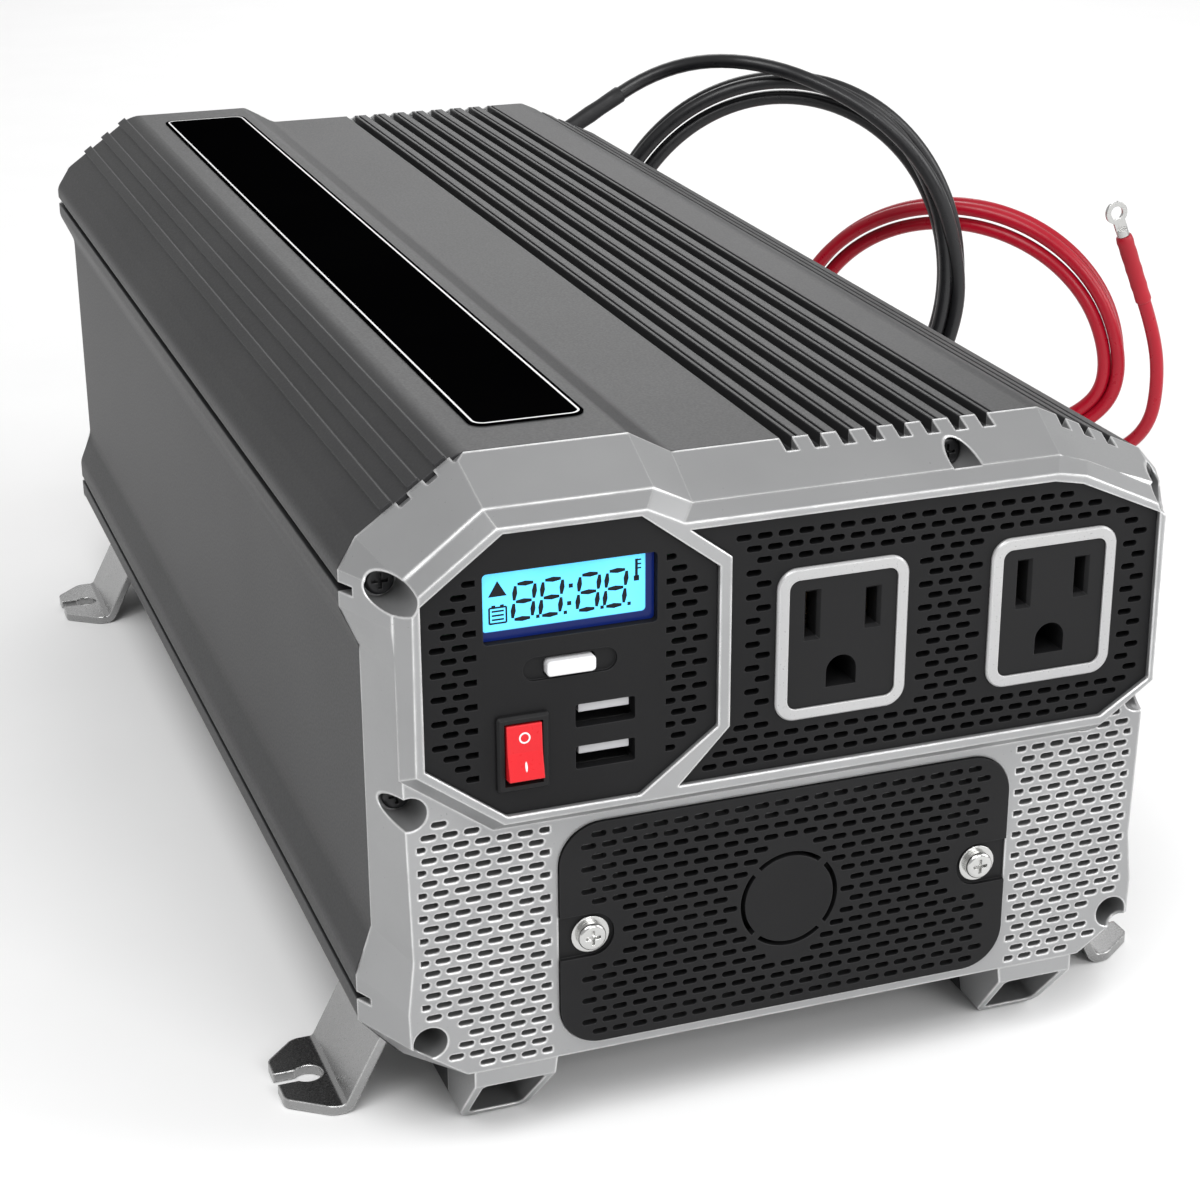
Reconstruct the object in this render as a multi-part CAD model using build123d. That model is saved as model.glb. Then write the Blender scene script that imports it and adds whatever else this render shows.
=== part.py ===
from build123d import *
import math
import os

# Power inverter, modelled in millimetres. z = 0 is the surface that the foot rails stand on,
# x = 0 is the middle of the front face, and the front looks towards -y.

# ------------------------------------------------------------------ driving dimensions
FACE_Y = -186.0                    # front of the two black panels
RIM_Y = FACE_Y - 1.0               # front lip of the silver rim
PLATE_Y = FACE_Y + 3.2             # lower grille plate of the front bezel
LEDGE_Y = FACE_Y + 2.5             # ledge that both panels rest on
SKIN = 3.0                         # plate thickness of the front bezel
BODY_FRONT_Y = FACE_Y + 16.5       # extruded body, front and rear end
BODY_REAR_Y = FACE_Y + 333.0
TAIL_Y = FACE_Y + 346.3            # rear face of the rear bezel
TAIL_LEDGE_Y = TAIL_Y - 2.5
TAIL_FACE_Y = TAIL_Y - 0.3         # outer face of the rear panel
FOOT_BACK = 5.9                    # the bezel feet reach this far under the body
SPLIT_Z = (31.2, 32.8)             # gap between the lower and the upper extrusion
FIT = 0.15                         # gap round a panel set into its bezel

SLOT_PITCH = 4.15                  # ventilation slots: pitch, row height, length and height
SLOT_ROW = 2.375
SLOT_LONG = 3.05
SLOT_HIGH = 1.25

TOP_LEFT = ((-80.2, 125.6), (-61.6, 138.8))    # left chamfer of the roof
TOP_RIGHT = ((56.0, 134.1), (79.3, 123.1))     # right chamfer of the roof
GROOVE_XS = [3.1 + 5.84 * n for n in range(8)]
RIDGE_XS = [-74.2, -69.1, -64.0]
CHAMFER_GROOVE_XS = [61.5, 66.7, 71.9]
SIDE_GROOVE_Z = 116.3

RECESS_R = 3.4                     # screw recesses of the bezels
CORNER_SCREWS = [(-77.4, 118.3), (77.4, 118.3), (-75.8, 75.3), (75.8, 75.3),
                 (-73.2, 26.6), (73.2, 26.6)]
TOP_SCREW = (34.6, 129.0)
BEZEL_SCREW_R = 1.3

OUTLET_XS = (8.0, 52.2)            # centres of the two socket outlets
OUTLET_Z = 99.2
OUTLET_SIZE = (26.8, 30.7)
OUTLET_BORDER = 2.3
RECEPTACLE_DEPTH = 24.0

LCD_BOX = (-62.0, -28.9, 107.9, 121.5)
MENU_X, MENU_Z = -45.7, 101.9
MENU_SIZE = (9.4, 3.0)
ROCKER_X, ROCKER_Z = -55.1, 86.2
ROCKER_PIVOT_Y = FACE_Y + 2.65
ROCKER_SIZE = (6.7, 10.6)
ROCKER_TILT = 8.0
USB_X = -39.0
USB_ZS = (91.5, 83.1)
USB_SIZE = (11.6, 4.6)

COVER_HALF = 47.3
COVER_Z = (20.3, 67.7)
COVER_MID_Z = 44.0
COVER_SCREW_X = 41.1
COVER_FRONT_Y = FACE_Y + 2.6
COVER_BACK_Y = FACE_Y + 4.6
KNOCKOUT_R = 9.8

BRACKET_YS = (FACE_Y + 39.2, FACE_Y + 309.2)
BRACKET_TIP = 96.0
BRACKET_SCREW_X = 70.3
BRACKET_SCREW_STEP = 8.0
KEYHOLE_X, KEYHOLE_R, KEYHOLE_MOUTH = 89.35, 3.05, 4.2

FAN_XS = (-37.0, 37.0)
FAN_Z = 54.0
FAN_HALF = 30.0
FAN_DEPTH = 20.0
FAN_BLADES = 7
FAN_HOLE_R = 28.5
SHAFT_R = 1.5
FAN_SCREW_STEP = 25.0

POST_XS = (-45.0, 45.0)            # positive on the left from the front, negative on the right
POST_Z = 98.0
POST_STUD_R = 3.0                  # free end, outside the nut
POST_SHANK_R = 3.2                 # rest of the stud
STUD_TIP_Y = FACE_Y + 375.0
LUG_Y = (FACE_Y + 362.0, FACE_Y + 364.0)
WASHER = 1.2
NUT_FACE_Y = LUG_Y[1] + WASHER + 5.0
GROUND_Z = 100.0
GROUND_STUD_R, GROUND_SHANK_R = 2.5, 2.7
GROUND_NUT = 4.0

BOARD_Z = (26.0, 27.6)
BOARD_Y = (FACE_Y + 34.0, FACE_Y + 312.0)
BOARD_HALF = 69.0
TRANSFORMER_YS = (FACE_Y + 105.0, FACE_Y + 160.0, FACE_Y + 215.0)

CABLE_R = 2.25                     # leads: insulation radius and heat-shrink radius
SLEEVE_R = 2.85
COIL_DEPTH = 9.4                   # two cables side by side, and two cables across the band
COIL_BAND = 9.5
POST_LUG = (5.5, 3.3, 14.0, 2.4, 2.0)      # ring, hole, reach, barrel radius, thickness
FREE_LUG = (3.75, 2.15, 8.4, 2.0, 1.0)
SLEEVE_END = 62.0                  # distance from a post to the end of its sleeve
NEGATIVE_ANGLE, POSITIVE_ANGLE = 29.5, -35.5    # slope of each lug on its post, in degrees


# ------------------------------------------------------------------ outlines (x, z)
CONTROL_PANEL = [(-58.3, 128.9), (-32.4, 128.9), (-17.2, 117.3), (-17.2, 85.5),
                 (-32.4, 74.0), (-58.3, 74.0), (-73.6, 85.5), (-73.6, 117.3)]
OUTLET_PANEL = [(-22.5, 125.0), (51.0, 125.0), (57.0, 123.8), (74.4, 115.8), (74.8, 81.0),
                (64.6, 74.5), (-24.6, 74.5), (-14.6, 85.0), (-14.6, 119.0)]
BODY_EDGE = [(-75.0, 17.0), (-83.9, 26.5), (-83.9, 36.5), (-80.5, 46.5), (-80.5, 104.5),
             (-83.9, 112.5), (-83.9, 119.5), (-80.4, 125.4), (-61.6, 138.8), (-28.5, 138.8),
             (-20.0, 134.1), (56.0, 134.1), (79.5, 123.0), (83.9, 118.0), (83.9, 112.5),
             (80.5, 104.5), (80.5, 46.5), (83.9, 36.5), (83.9, 26.5), (75.0, 17.0)]
NOSE_EDGE = [(-66.0, 18.2), (-77.0, 26.0), (-77.2, 33.5), (-76.0, 44.5), (-77.4, 104.0),
             (-77.8, 112.0), (-77.6, 119.3), (-75.9, 121.0), (-60.5, 132.6), (-28.5, 132.6),
             (-21.0, 128.8), (54.0, 128.8), (76.0, 120.2), (77.8, 117.6), (77.8, 112.0),
             (77.4, 104.0), (76.0, 44.5), (77.2, 33.5), (77.0, 26.0), (66.0, 18.2)]
RIM_BACK = [(-60.5, 132.4), (-28.6, 132.4), (-21.0, 128.7), (54.0, 128.7), (60.0, 127.0),
            (77.6, 118.8), (77.6, 80.5), (66.0, 69.5), (-60.0, 69.5), (-77.6, 82.5),
            (-77.5, 119.3)]
RIM_FRONT = [(-59.3, 130.2), (-31.4, 130.2), (-24.2, 126.6), (51.6, 126.6), (57.8, 125.4),
             (75.8, 116.8), (75.9, 80.4), (65.0, 72.6), (-58.9, 72.4), (-75.4, 84.6),
             (-75.1, 118.4)]
UPPER_OUTER = [(-83.9, 32.8), (-83.9, 37.5), (-80.5, 45.5), (-80.5, 104.5), (-83.9, 112.0),
               (-83.9, 120.0), (-80.2, 125.6), (-61.6, 138.8), (-28.5, 138.8), (-20.5, 134.1),
               (56.0, 134.1), (79.3, 123.1), (83.9, 117.4), (83.9, 112.0), (80.5, 104.5),
               (80.5, 45.5), (83.9, 37.5), (83.9, 32.8)]
UPPER_RADII = [0, 5, 6, 6, 5, 4, 4, 8, 4, 5, 8, 6, 2, 5, 6, 6, 5, 0]
UPPER_INNER = [(77.7, 32.8), (77.7, 116.5), (75.0, 119.4), (54.6, 129.4), (-22.8, 129.4),
               (-30.0, 134.8), (-59.8, 134.8), (-75.0, 124.0), (-77.7, 119.5), (-77.7, 32.8)]
LOWER_OUTER = [(-83.9, 31.2), (-83.9, 26.5), (-75.5, 17.0), (-64.6, 17.0), (-64.6, 0.0),
               (-50.2, 0.0), (-47.9, 17.0), (47.9, 17.0), (50.2, 0.0), (64.6, 0.0),
               (64.6, 17.0), (75.5, 17.0), (83.9, 26.5), (83.9, 31.2)]
LOWER_RADII = [0, 4, 5, 0, 3, 3, 0, 0, 3, 3, 0, 5, 4, 0]
LOWER_INNER = [(77.5, 31.2), (77.5, 38.0), (75.0, 38.0), (75.0, 25.0), (70.5, 20.0),
               (-70.5, 20.0), (-75.0, 25.0), (-75.0, 38.0), (-77.5, 38.0), (-77.5, 31.2)]
FOOT_OUTLINE = [(64.6, 18.6), (64.6, 0.0), (50.2, 0.0), (47.7, 18.6)]
FOOT_HOLLOW = [(62.9, 14.4), (62.9, 1.6), (51.6, 1.6), (49.9, 14.4)]
FOOT_RADII = [0, 3.0, 3.0, 0]
HOLLOW_RADII = [1.2, 1.6, 1.6, 1.2]
BRACKET_PROFILE = [(66.0, 17.0), (77.0, 17.0), (84.9, 2.0), (96.0, 2.0), (96.0, 0.0),
                   (83.7, 0.0), (75.8, 15.0), (66.0, 15.0)]
BRACKET_RADII = [0, 3.0, 1.2, 0, 0, 3.2, 1.0, 0]


# ------------------------------------------------------------------ geometry of outlines
def inset(points, amount):
    """Outline moved inward by amount at every edge, or outward if amount is negative."""
    count = len(points)
    area = sum(points[i][0] * points[(i + 1) % count][1] - points[(i + 1) % count][0] * points[i][1]
               for i in range(count))
    turn = 1.0 if area > 0 else -1.0
    moved = []
    for i in range(count):
        before, here, after = points[i - 1], points[i], points[(i + 1) % count]
        ax, az = unit(here[0] - before[0], here[1] - before[1])
        bx, bz = unit(after[0] - here[0], after[1] - here[1])
        scale = turn * amount / (1.0 + ax * bx + az * bz)
        moved.append((here[0] - (az + bz) * scale, here[1] + (ax + bx) * scale))
    return moved


def unit(dx, dz):
    """Direction with a length of one."""
    length = math.hypot(dx, dz)
    return dx / length, dz / length


def edge_distance(points, x, z):
    """Distance from (x, z) to the outline, negative outside it."""
    nearest, inside = 1e9, False
    for i, (x1, z1) in enumerate(points):
        x0, z0 = points[i - 1]
        dx, dz = x1 - x0, z1 - z0
        t = max(0.0, min(1.0, ((x - x0) * dx + (z - z0) * dz) / (dx * dx + dz * dz)))
        nearest = min(nearest, math.hypot(x - x0 - t * dx, z - z0 - t * dz))
        if (z0 > z) != (z1 > z) and x < x0 + (z - z0) * dx / dz:
            inside = not inside
    return nearest if inside else -nearest


def rectangle(x0, x1, z0, z1):
    """Corners of a rectangle."""
    return [(x0, z0), (x1, z0), (x1, z1), (x0, z1)]


def mirrored(points):
    """Outline reflected left to right."""
    return [(-x, z) for x, z in reversed(points)]


def chamfer_height(line, x):
    """Height of a roof chamfer at x, and its slope in degrees."""
    (x0, z0), (x1, z1) = line
    slope = (z1 - z0) / (x1 - x0)
    return z0 + (x - x0) * slope, math.degrees(math.atan(slope))


# ------------------------------------------------------------------ basic solids
def outline_wire(points, y, radii=None):
    """Closed wire through (x, z) points at one y, with a radius at each corner."""
    corners = [(x, y, z) for x, z in points]
    if radii is None:
        return Wire.make_polygon(corners, close=True)
    return Wire(FilletPolyline(*corners, radius=radii, close=True).edges())


def prism(points, y0, y1, radii=None):
    """Straight solid along y with an (x, z) outline."""
    return Solid.extrude(Face(outline_wire(points, y0, radii)), Vector(0, y1 - y0, 0))


def rounded(x0, x1, z0, z1, radius, y0, y1):
    """Straight solid along y with a rounded rectangular outline."""
    return prism(rectangle(x0, x1, z0, z1), y0, y1, [radius] * 4)


def ruled(points_a, y_a, points_b, y_b):
    """Tapered solid between two outlines with matching corners."""
    return Solid.make_loft([outline_wire(points_a, y_a), outline_wire(points_b, y_b)], True)


def block(x0, x1, y0, y1, z0, z1):
    """Axis-aligned block between three pairs of coordinates."""
    centre = Pos((x0 + x1) / 2, (y0 + y1) / 2, (z0 + z1) / 2)
    return centre * Box(abs(x1 - x0), abs(y1 - y0), abs(z1 - z0))


def rod(x, z, radius, y0, y1):
    """Round bar along y."""
    disc = Face(Wire.make_circle(radius, Plane((x, y0, z), z_dir=(0, 1, 0))))
    return Solid.extrude(disc, Vector(0, y1 - y0, 0))


def upright(x, y, radius, z0, z1):
    """Round bar along z."""
    disc = Face(Wire.make_circle(radius, Plane((x, y, z0))))
    return Solid.extrude(disc, Vector(0, 0, z1 - z0))


def crossbar(y, z, radius, x0, x1):
    """Round bar along x."""
    disc = Face(Wire.make_circle(radius, Plane((x0, y, z), z_dir=(1, 0, 0))))
    return Solid.extrude(disc, Vector(x1 - x0, 0, 0))


def side_prism(profile, x0, x1):
    """Solid along x with a (y, z) outline."""
    wire = Wire.make_polygon([(x0, y, z) for y, z in profile], close=True)
    return Solid.extrude(Face(wire), Vector(x1 - x0, 0, 0))


def hexagon(x, z, across_flats, y0, y1):
    """Hexagonal bar along y."""
    radius = across_flats / math.sqrt(3)
    points = [(x + radius * math.cos(math.radians(60 * k)),
               z + radius * math.sin(math.radians(60 * k))) for k in range(6)]
    return prism(points, y0, y1)


def screw_along_y(x, z, seat_y, facing, head, shank_r, shank_length):
    """Cross-recess screw: head = (radius, height) outside the seat, facing -1 or 1 along y."""
    radius, height = head
    top_y = seat_y + facing * height
    cap = rod(x, z, radius, min(seat_y, top_y), max(seat_y, top_y))
    rim = cap.edges().filter_by(GeomType.CIRCLE).sort_by(Axis.Y)
    cap = cap.fillet(height * 0.45, [rim[-1] if facing > 0 else rim[0]])
    floor_y = top_y - facing * height * 0.55
    for half_x, half_z in ((radius * 0.55, radius * 0.12), (radius * 0.12, radius * 0.55)):
        cap -= block(x - half_x, x + half_x, floor_y, top_y + facing, z - half_z, z + half_z)
    end_y = seat_y - facing * shank_length
    return cap + rod(x, z, shank_r, min(seat_y, end_y), max(seat_y, end_y))


def save(name, shapes):
    """Write one sub-part, a solid or a group of solids, as parts/NAME.step."""
    solids = []
    for shape in (shapes if isinstance(shapes, (list, tuple)) else [shapes]):
        solids.extend(shape.solids())
    body = solids[0] if len(solids) == 1 else Compound(children=solids)
    export_step(body, f"parts/{name}.step")


# ------------------------------------------------------------------ ventilation slots
def slot_wire(left, right, z, y, clip):
    """Slot outline from left to right at height z, cut square where it meets a clip line."""
    r = SLOT_HIGH / 2
    x0, x1 = max(left, clip[0]), min(right, clip[1])
    start = x0 if left < clip[0] else x0 + r
    end = x1 if right > clip[1] else x1 - r
    edges = [Edge.make_line((start, y, z - r), (end, y, z - r))]
    if right > clip[1]:
        edges.append(Edge.make_line((end, y, z - r), (end, y, z + r)))
    else:
        edges.append(Edge.make_three_point_arc((end, y, z - r), (x1, y, z), (end, y, z + r)))
    edges.append(Edge.make_line((end, y, z + r), (start, y, z + r)))
    if left < clip[0]:
        edges.append(Edge.make_line((start, y, z + r), (start, y, z - r)))
    else:
        edges.append(Edge.make_three_point_arc((start, y, z + r), (x0, y, z), (start, y, z - r)))
    return Wire(edges)


def slot_field(anchor, region, y, keep):
    """Staggered slots on the lattice through anchor, kept where keep(x0, x1, z) says yes."""
    x_low, x_high, z_low, z_high = region
    wires = []
    first_row = math.ceil((z_low - anchor[1]) / SLOT_ROW - 1e-6)
    last_row = math.floor((z_high - anchor[1]) / SLOT_ROW + 1e-6)
    for row in range(first_row, last_row + 1):
        z = anchor[1] + row * SLOT_ROW
        start = anchor[0] + (SLOT_PITCH / 2 if row % 2 else 0.0)
        first = math.ceil((x_low - start - SLOT_LONG / 2) / SLOT_PITCH)
        last = math.floor((x_high - start + SLOT_LONG / 2) / SLOT_PITCH)
        for column in range(first, last + 1):
            x = start + column * SLOT_PITCH
            left, right = x - SLOT_LONG / 2, x + SLOT_LONG / 2
            seen = (max(left, x_low), min(right, x_high))
            if seen[1] - seen[0] > 1.4 and keep(seen[0], seen[1], z):
                wires.append(slot_wire(left, right, z, y, (x_low, x_high)))
    return wires


def clear_of(box, x0, x1, z, margin):
    """True where a slot from x0 to x1 at height z keeps its margin to a rectangle."""
    left, right, low, high = box
    beside = x1 < left - margin or x0 > right + margin
    return beside or z < low - margin - SLOT_HIGH / 2 or z > high + margin + SLOT_HIGH / 2


# ------------------------------------------------------------------ extruded body
def open_section(outer, radii, inner):
    """Channel section at the front of the body: along the outer line and back inside."""
    return Face(outline_wire(outer + inner, BODY_FRONT_Y, radii + [0] * len(inner)))


def top_shell():
    """Roof and side walls as one channel extrusion, with grooves and screw channels."""
    length = Vector(0, BODY_REAR_Y - BODY_FRONT_Y, 0)
    shell = Solid.extrude(open_section(UPPER_OUTER, UPPER_RADII, UPPER_INNER), length)
    places = [place for place in CORNER_SCREWS if place[1] > 40] + [TOP_SCREW]
    bosses = [rod(x, z, 3.2, BODY_FRONT_Y, BODY_REAR_Y) for x, z in places]
    bores = [rod(x, z, BEZEL_SCREW_R + 0.05, BODY_FRONT_Y - 1, BODY_REAR_Y + 1) for x, z in places]
    return (shell + bosses + roof_ridges()) - bores - roof_grooves()


def roof_ridges():
    """Three raised ribs along the left chamfer of the roof."""
    middle, length = (BODY_FRONT_Y + BODY_REAR_Y) / 2, BODY_REAR_Y - BODY_FRONT_Y
    ridges = []
    for x in RIDGE_XS:
        z, angle = chamfer_height(TOP_LEFT, x)
        ridges.append(Pos(x, middle, z) * Rot(0, -angle, 0) * Box(2.5, length, 1.6))
    return ridges


def roof_grooves():
    """Grooves along the flat roof, its right chamfer and the rolled shoulders."""
    y0, y1 = BODY_FRONT_Y - 1, BODY_REAR_Y + 1
    cutters = []
    for x in GROOVE_XS:
        cutters.append(block(x - 1.4, x + 1.2, y0, y1, 131.5, 136.0))
        cutters.append(block(x + 1.9, x + 2.5, y0, y1, 133.2, 136.0))
    for x in CHAMFER_GROOVE_XS:
        z, angle = chamfer_height(TOP_RIGHT, x)
        turned = Rot(0, -angle, 0) * Box(2.4, y1 - y0, 4.8)
        cutters.append(Pos(x, (y0 + y1) / 2, z) * turned)
    for side in (-1, 1):
        cutters.append(block(side * 80.9, side * 86, y0, y1, SIDE_GROOVE_Z - 0.9, SIDE_GROOVE_Z + 0.9))
    return cutters


def base_tray():
    """Bottom extrusion with its two hollow foot rails."""
    length = Vector(0, BODY_REAR_Y - BODY_FRONT_Y, 0)
    tray = Solid.extrude(open_section(LOWER_OUTER, LOWER_RADII, LOWER_INNER), length)
    places = [place for place in CORNER_SCREWS if place[1] < 40]
    tray = tray + [rod(x, z, 3.3, BODY_FRONT_Y, BODY_REAR_Y) for x, z in places]
    cuts = [rod(x, z, BEZEL_SCREW_R + 0.05, BODY_FRONT_Y - 1, BODY_REAR_Y + 1) for x, z in places]
    for hollow in (FOOT_HOLLOW, mirrored(FOOT_HOLLOW)):
        cuts.append(prism(hollow, BODY_FRONT_Y - 1, BODY_REAR_Y + 1, HOLLOW_RADII))
    cuts.append(block(-70, 70, BODY_FRONT_Y - 1, BODY_FRONT_Y + FOOT_BACK, -1, 18.7))
    cuts.append(block(-70, 70, BODY_REAR_Y - FOOT_BACK, BODY_REAR_Y + 1, -1, 18.7))
    cuts.extend(upright(x, y, 1.65, 14, 24) for x, y in bracket_screw_places())
    return tray - cuts


# ------------------------------------------------------------------ bezels
def bezel_foot(y_end, y_body, side):
    """Hollow foot that ends a rail, with its outer end cut back towards the surface."""
    inward = 1 if y_body > y_end else -1
    y_low, y_high = sorted((y_end + inward * 0.2, y_body))
    foot = prism(FOOT_OUTLINE, y_low, y_high, FOOT_RADII)
    foot -= prism(FOOT_HOLLOW, y_low - 1, y_high + 1, HOLLOW_RADII)
    profile = [(y_end - inward * 2, 14.9), (y_end, 14.9), (y_end + inward * 13.6, -0.6),
               (y_end - inward * 2, -0.6)]
    foot -= side_prism(profile, 40, 70)
    return foot if side > 0 else mirror(foot, about=Plane.YZ)


def run_out(width, floor, y_edge, inward):
    """Ramped notch cutter, its middle on the surface, running out over 3.6 mm."""
    y_near, y_far = y_edge - inward * 0.5, y_edge + inward * 3.6
    profile = [(y_near, 4.0), (y_near, -floor), (y_edge, -floor), (y_far, 0.4 - floor), (y_far, 4.0)]
    return side_prism(profile, -width / 2, width / 2)


def bezel_notches(y_edge, inward):
    """Notches where the grooves of the body run out into a bezel."""
    notches = [Pos(x - 0.1, 0, 134.1) * run_out(2.6, 2.6, y_edge, inward) for x in GROOVE_XS]
    for x in CHAMFER_GROOVE_XS:
        z, angle = chamfer_height(TOP_RIGHT, x)
        notches.append(Pos(x, 0, z) * Rot(0, -angle, 0) * run_out(2.4, 2.4, y_edge, inward))
    for x in RIDGE_XS:
        z, angle = chamfer_height(TOP_LEFT, x + 2.5)
        notches.append(Pos(x + 2.5, 0, z) * Rot(0, -angle, 0) * run_out(2.5, 1.0, y_edge, inward))
    for side in (-1, 1):
        for z, half in ((SIDE_GROOVE_Z, 0.9), (sum(SPLIT_Z) / 2, 0.8)):
            cutter = Rot(0, side * 90, 0) * run_out(2 * half, 2.6, y_edge, inward)
            notches.append(Pos(side * 83.9, 0, z) * cutter)
    return notches


def bezel_frame(y_nose, y_body, wall):
    """Tapered frame between nose and body outlines, hollow inside, with screw bosses."""
    inward = 1 if y_body > y_nose else -1
    outer = ruled(NOSE_EDGE, y_nose, BODY_EDGE, y_body)
    hollow = prism(inset(NOSE_EDGE, 2.6), y_nose + inward * wall, y_body + inward * 0.5)
    frame = outer - hollow
    for x, z in CORNER_SCREWS + [TOP_SCREW]:
        y_low, y_high = sorted((y_nose + inward * 0.5, y_body))
        frame += rod(x, z, 5.0, y_low, y_high) & outer
    return frame


def bezel_screw_holes(y_nose, y_body):
    """Recesses for the screw heads and the holes behind them."""
    inward = 1 if y_body > y_nose else -1
    seat = y_body - inward * 3.2
    holes = []
    for x, z in CORNER_SCREWS:
        y_low, y_high = sorted((y_nose - inward * 6, seat))
        holes.append(rod(x, z, RECESS_R, y_low, y_high))
    y_low, y_high = sorted((y_nose, seat))
    holes.append(rod(TOP_SCREW[0], TOP_SCREW[1], RECESS_R - 0.4, y_low, y_high))
    for x, z in CORNER_SCREWS + [TOP_SCREW]:
        y_low, y_high = sorted((seat - inward, y_body + inward))
        holes.append(rod(x, z, BEZEL_SCREW_R + 0.3, y_low, y_high))
    return holes


def keep_grille_slot(x0, x1, z):
    """Slots of the left lower grille that stay clear of the rim, corner and cover."""
    recess = math.hypot(x0 + 73.8, z - 26.5) if z < 32 else 99.0
    upper_recess = math.hypot(x0 + 75.8, z - 75.3)
    if min(recess, upper_recess) < RECESS_R + 1.4:
        return False
    if z > 68.3 and (x1 > -61.5 - (z - 69.5) * 1.35 or z > 73.5):
        return False
    return edge_distance(NOSE_EDGE, x0, z) > 1.1


def grille_slots(y):
    """Slots on both sides of the cover."""
    left = slot_field((-49.5, 20.2), (-74.6, -48.9, 20.0, 73.0), y, keep_grille_slot)
    right = slot_field((49.5, 20.2), (48.9, 74.6, 20.0, 73.0), y,
                       lambda x0, x1, z: keep_grille_slot(-x1, -x0, z))
    return left + right


def front_bezel():
    """Silver front frame: rim round the panels, lower grilles, screw recesses and feet."""
    bezel = bezel_frame(PLATE_Y, BODY_FRONT_Y, SKIN)
    bezel += ruled(RIM_FRONT, RIM_Y, RIM_BACK, PLATE_Y)
    for side in (-1, 1):
        bezel += bezel_foot(PLATE_Y, BODY_FRONT_Y + FOOT_BACK, side)
        bezel += rod(side * COVER_SCREW_X, COVER_MID_Z, 3.2, PLATE_Y + 1.5, PLATE_Y + 10.0)
    cuts = bezel_screw_holes(PLATE_Y, BODY_FRONT_Y)
    for outline in (CONTROL_PANEL, OUTLET_PANEL):
        cuts.append(prism(inset(outline, -FIT), RIM_Y - 1, LEDGE_Y))
        cuts.append(prism(inset(outline, 1.5), LEDGE_Y - 0.5, PLATE_Y + SKIN + 1))
    cuts.append(rounded(-COVER_HALF - FIT, COVER_HALF + FIT, COVER_Z[0] - FIT, COVER_Z[1] + FIT,
                        8.6, PLATE_Y - 1, COVER_BACK_Y))
    cuts.append(rounded(-35, 35, 25.0, 62.0, 4.0, PLATE_Y, PLATE_Y + SKIN + 1))
    for side in (-1, 1):
        cuts.append(rod(side * COVER_SCREW_X, COVER_MID_Z, 1.35, PLATE_Y, PLATE_Y + 8.5))
    cuts.extend(Solid.extrude(Face(wire), Vector(0, SKIN + 1.5, 0))
                for wire in grille_slots(PLATE_Y - 0.5))
    return bezel - cuts - bezel_notches(BODY_FRONT_Y, -1)


def rear_bezel():
    """Silver rear frame with the same taper, recesses and feet as the front one."""
    bezel = bezel_frame(TAIL_Y, BODY_REAR_Y, 5.0)
    for side in (-1, 1):
        bezel += bezel_foot(TAIL_Y, BODY_REAR_Y - FOOT_BACK, side)
    cuts = bezel_screw_holes(TAIL_Y, BODY_REAR_Y)
    cuts.append(prism(inset(NOSE_EDGE, 4.0 - FIT), TAIL_LEDGE_Y, TAIL_Y + 1))
    cuts.append(prism(inset(NOSE_EDGE, 5.0), BODY_REAR_Y, TAIL_Y))
    return bezel - cuts - bezel_notches(BODY_REAR_Y, 1)


def bezel_screws(y_nose, y_body):
    """Screws that hold a bezel to the extrusions."""
    facing = -1 if y_body > y_nose else 1
    seat = y_body + facing * 3.2
    return [screw_along_y(x, z, seat, facing, (2.8, 1.8), BEZEL_SCREW_R, 15.0)
            for x, z in CORNER_SCREWS + [TOP_SCREW]]


# ------------------------------------------------------------------ front panels
def panel_with_openings(outline, openings, slots):
    """Flat panel between the face and the ledge, with openings and ventilation slots."""
    face = Face(outline_wire(outline, FACE_Y), openings + slots)
    return Solid.extrude(face, Vector(0, LEDGE_Y - FACE_Y, 0))


def rounded_wire(x0, x1, z0, z1, radius):
    """Rounded rectangular opening at the face of the panels."""
    return outline_wire(rectangle(x0, x1, z0, z1), FACE_Y, [radius] * 4)


def centred(x, z, width, height, gap=0.0):
    """Rectangle bounds about a centre, wider by a gap on every side."""
    return (x - width / 2 - gap, x + width / 2 + gap, z - height / 2 - gap, z + height / 2 + gap)


def control_panel():
    """Octagonal panel with its display, button, switch and port openings."""
    openings = [rounded_wire(*LCD_BOX, 0.8),
                rounded_wire(*centred(MENU_X, MENU_Z, *MENU_SIZE, 0.3), 1.0),
                rounded_wire(*centred(ROCKER_X, ROCKER_Z, 8.6, 13.8, 0.1), 0.4)]
    openings += [rounded_wire(*centred(USB_X, z, *USB_SIZE), 0.5) for z in USB_ZS]

    def keep(x0, x1, z):
        return min(edge_distance(CONTROL_PANEL, x, z) for x in (x0, x1)) > 1.2

    slots = slot_field((-66.4, 113.0), (-72.4, -63.3, 80, 121), FACE_Y, keep)
    slots += slot_field((-20.5, 113.0), (-27.2, -18.4, 80, 121), FACE_Y, keep)
    panel = panel_with_openings(CONTROL_PANEL, openings, slots)
    recess = rounded(-54.7, -36.7, 99.7, 104.3, 2.25, FACE_Y - 1, FACE_Y + 0.7)
    return panel - recess


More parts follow.
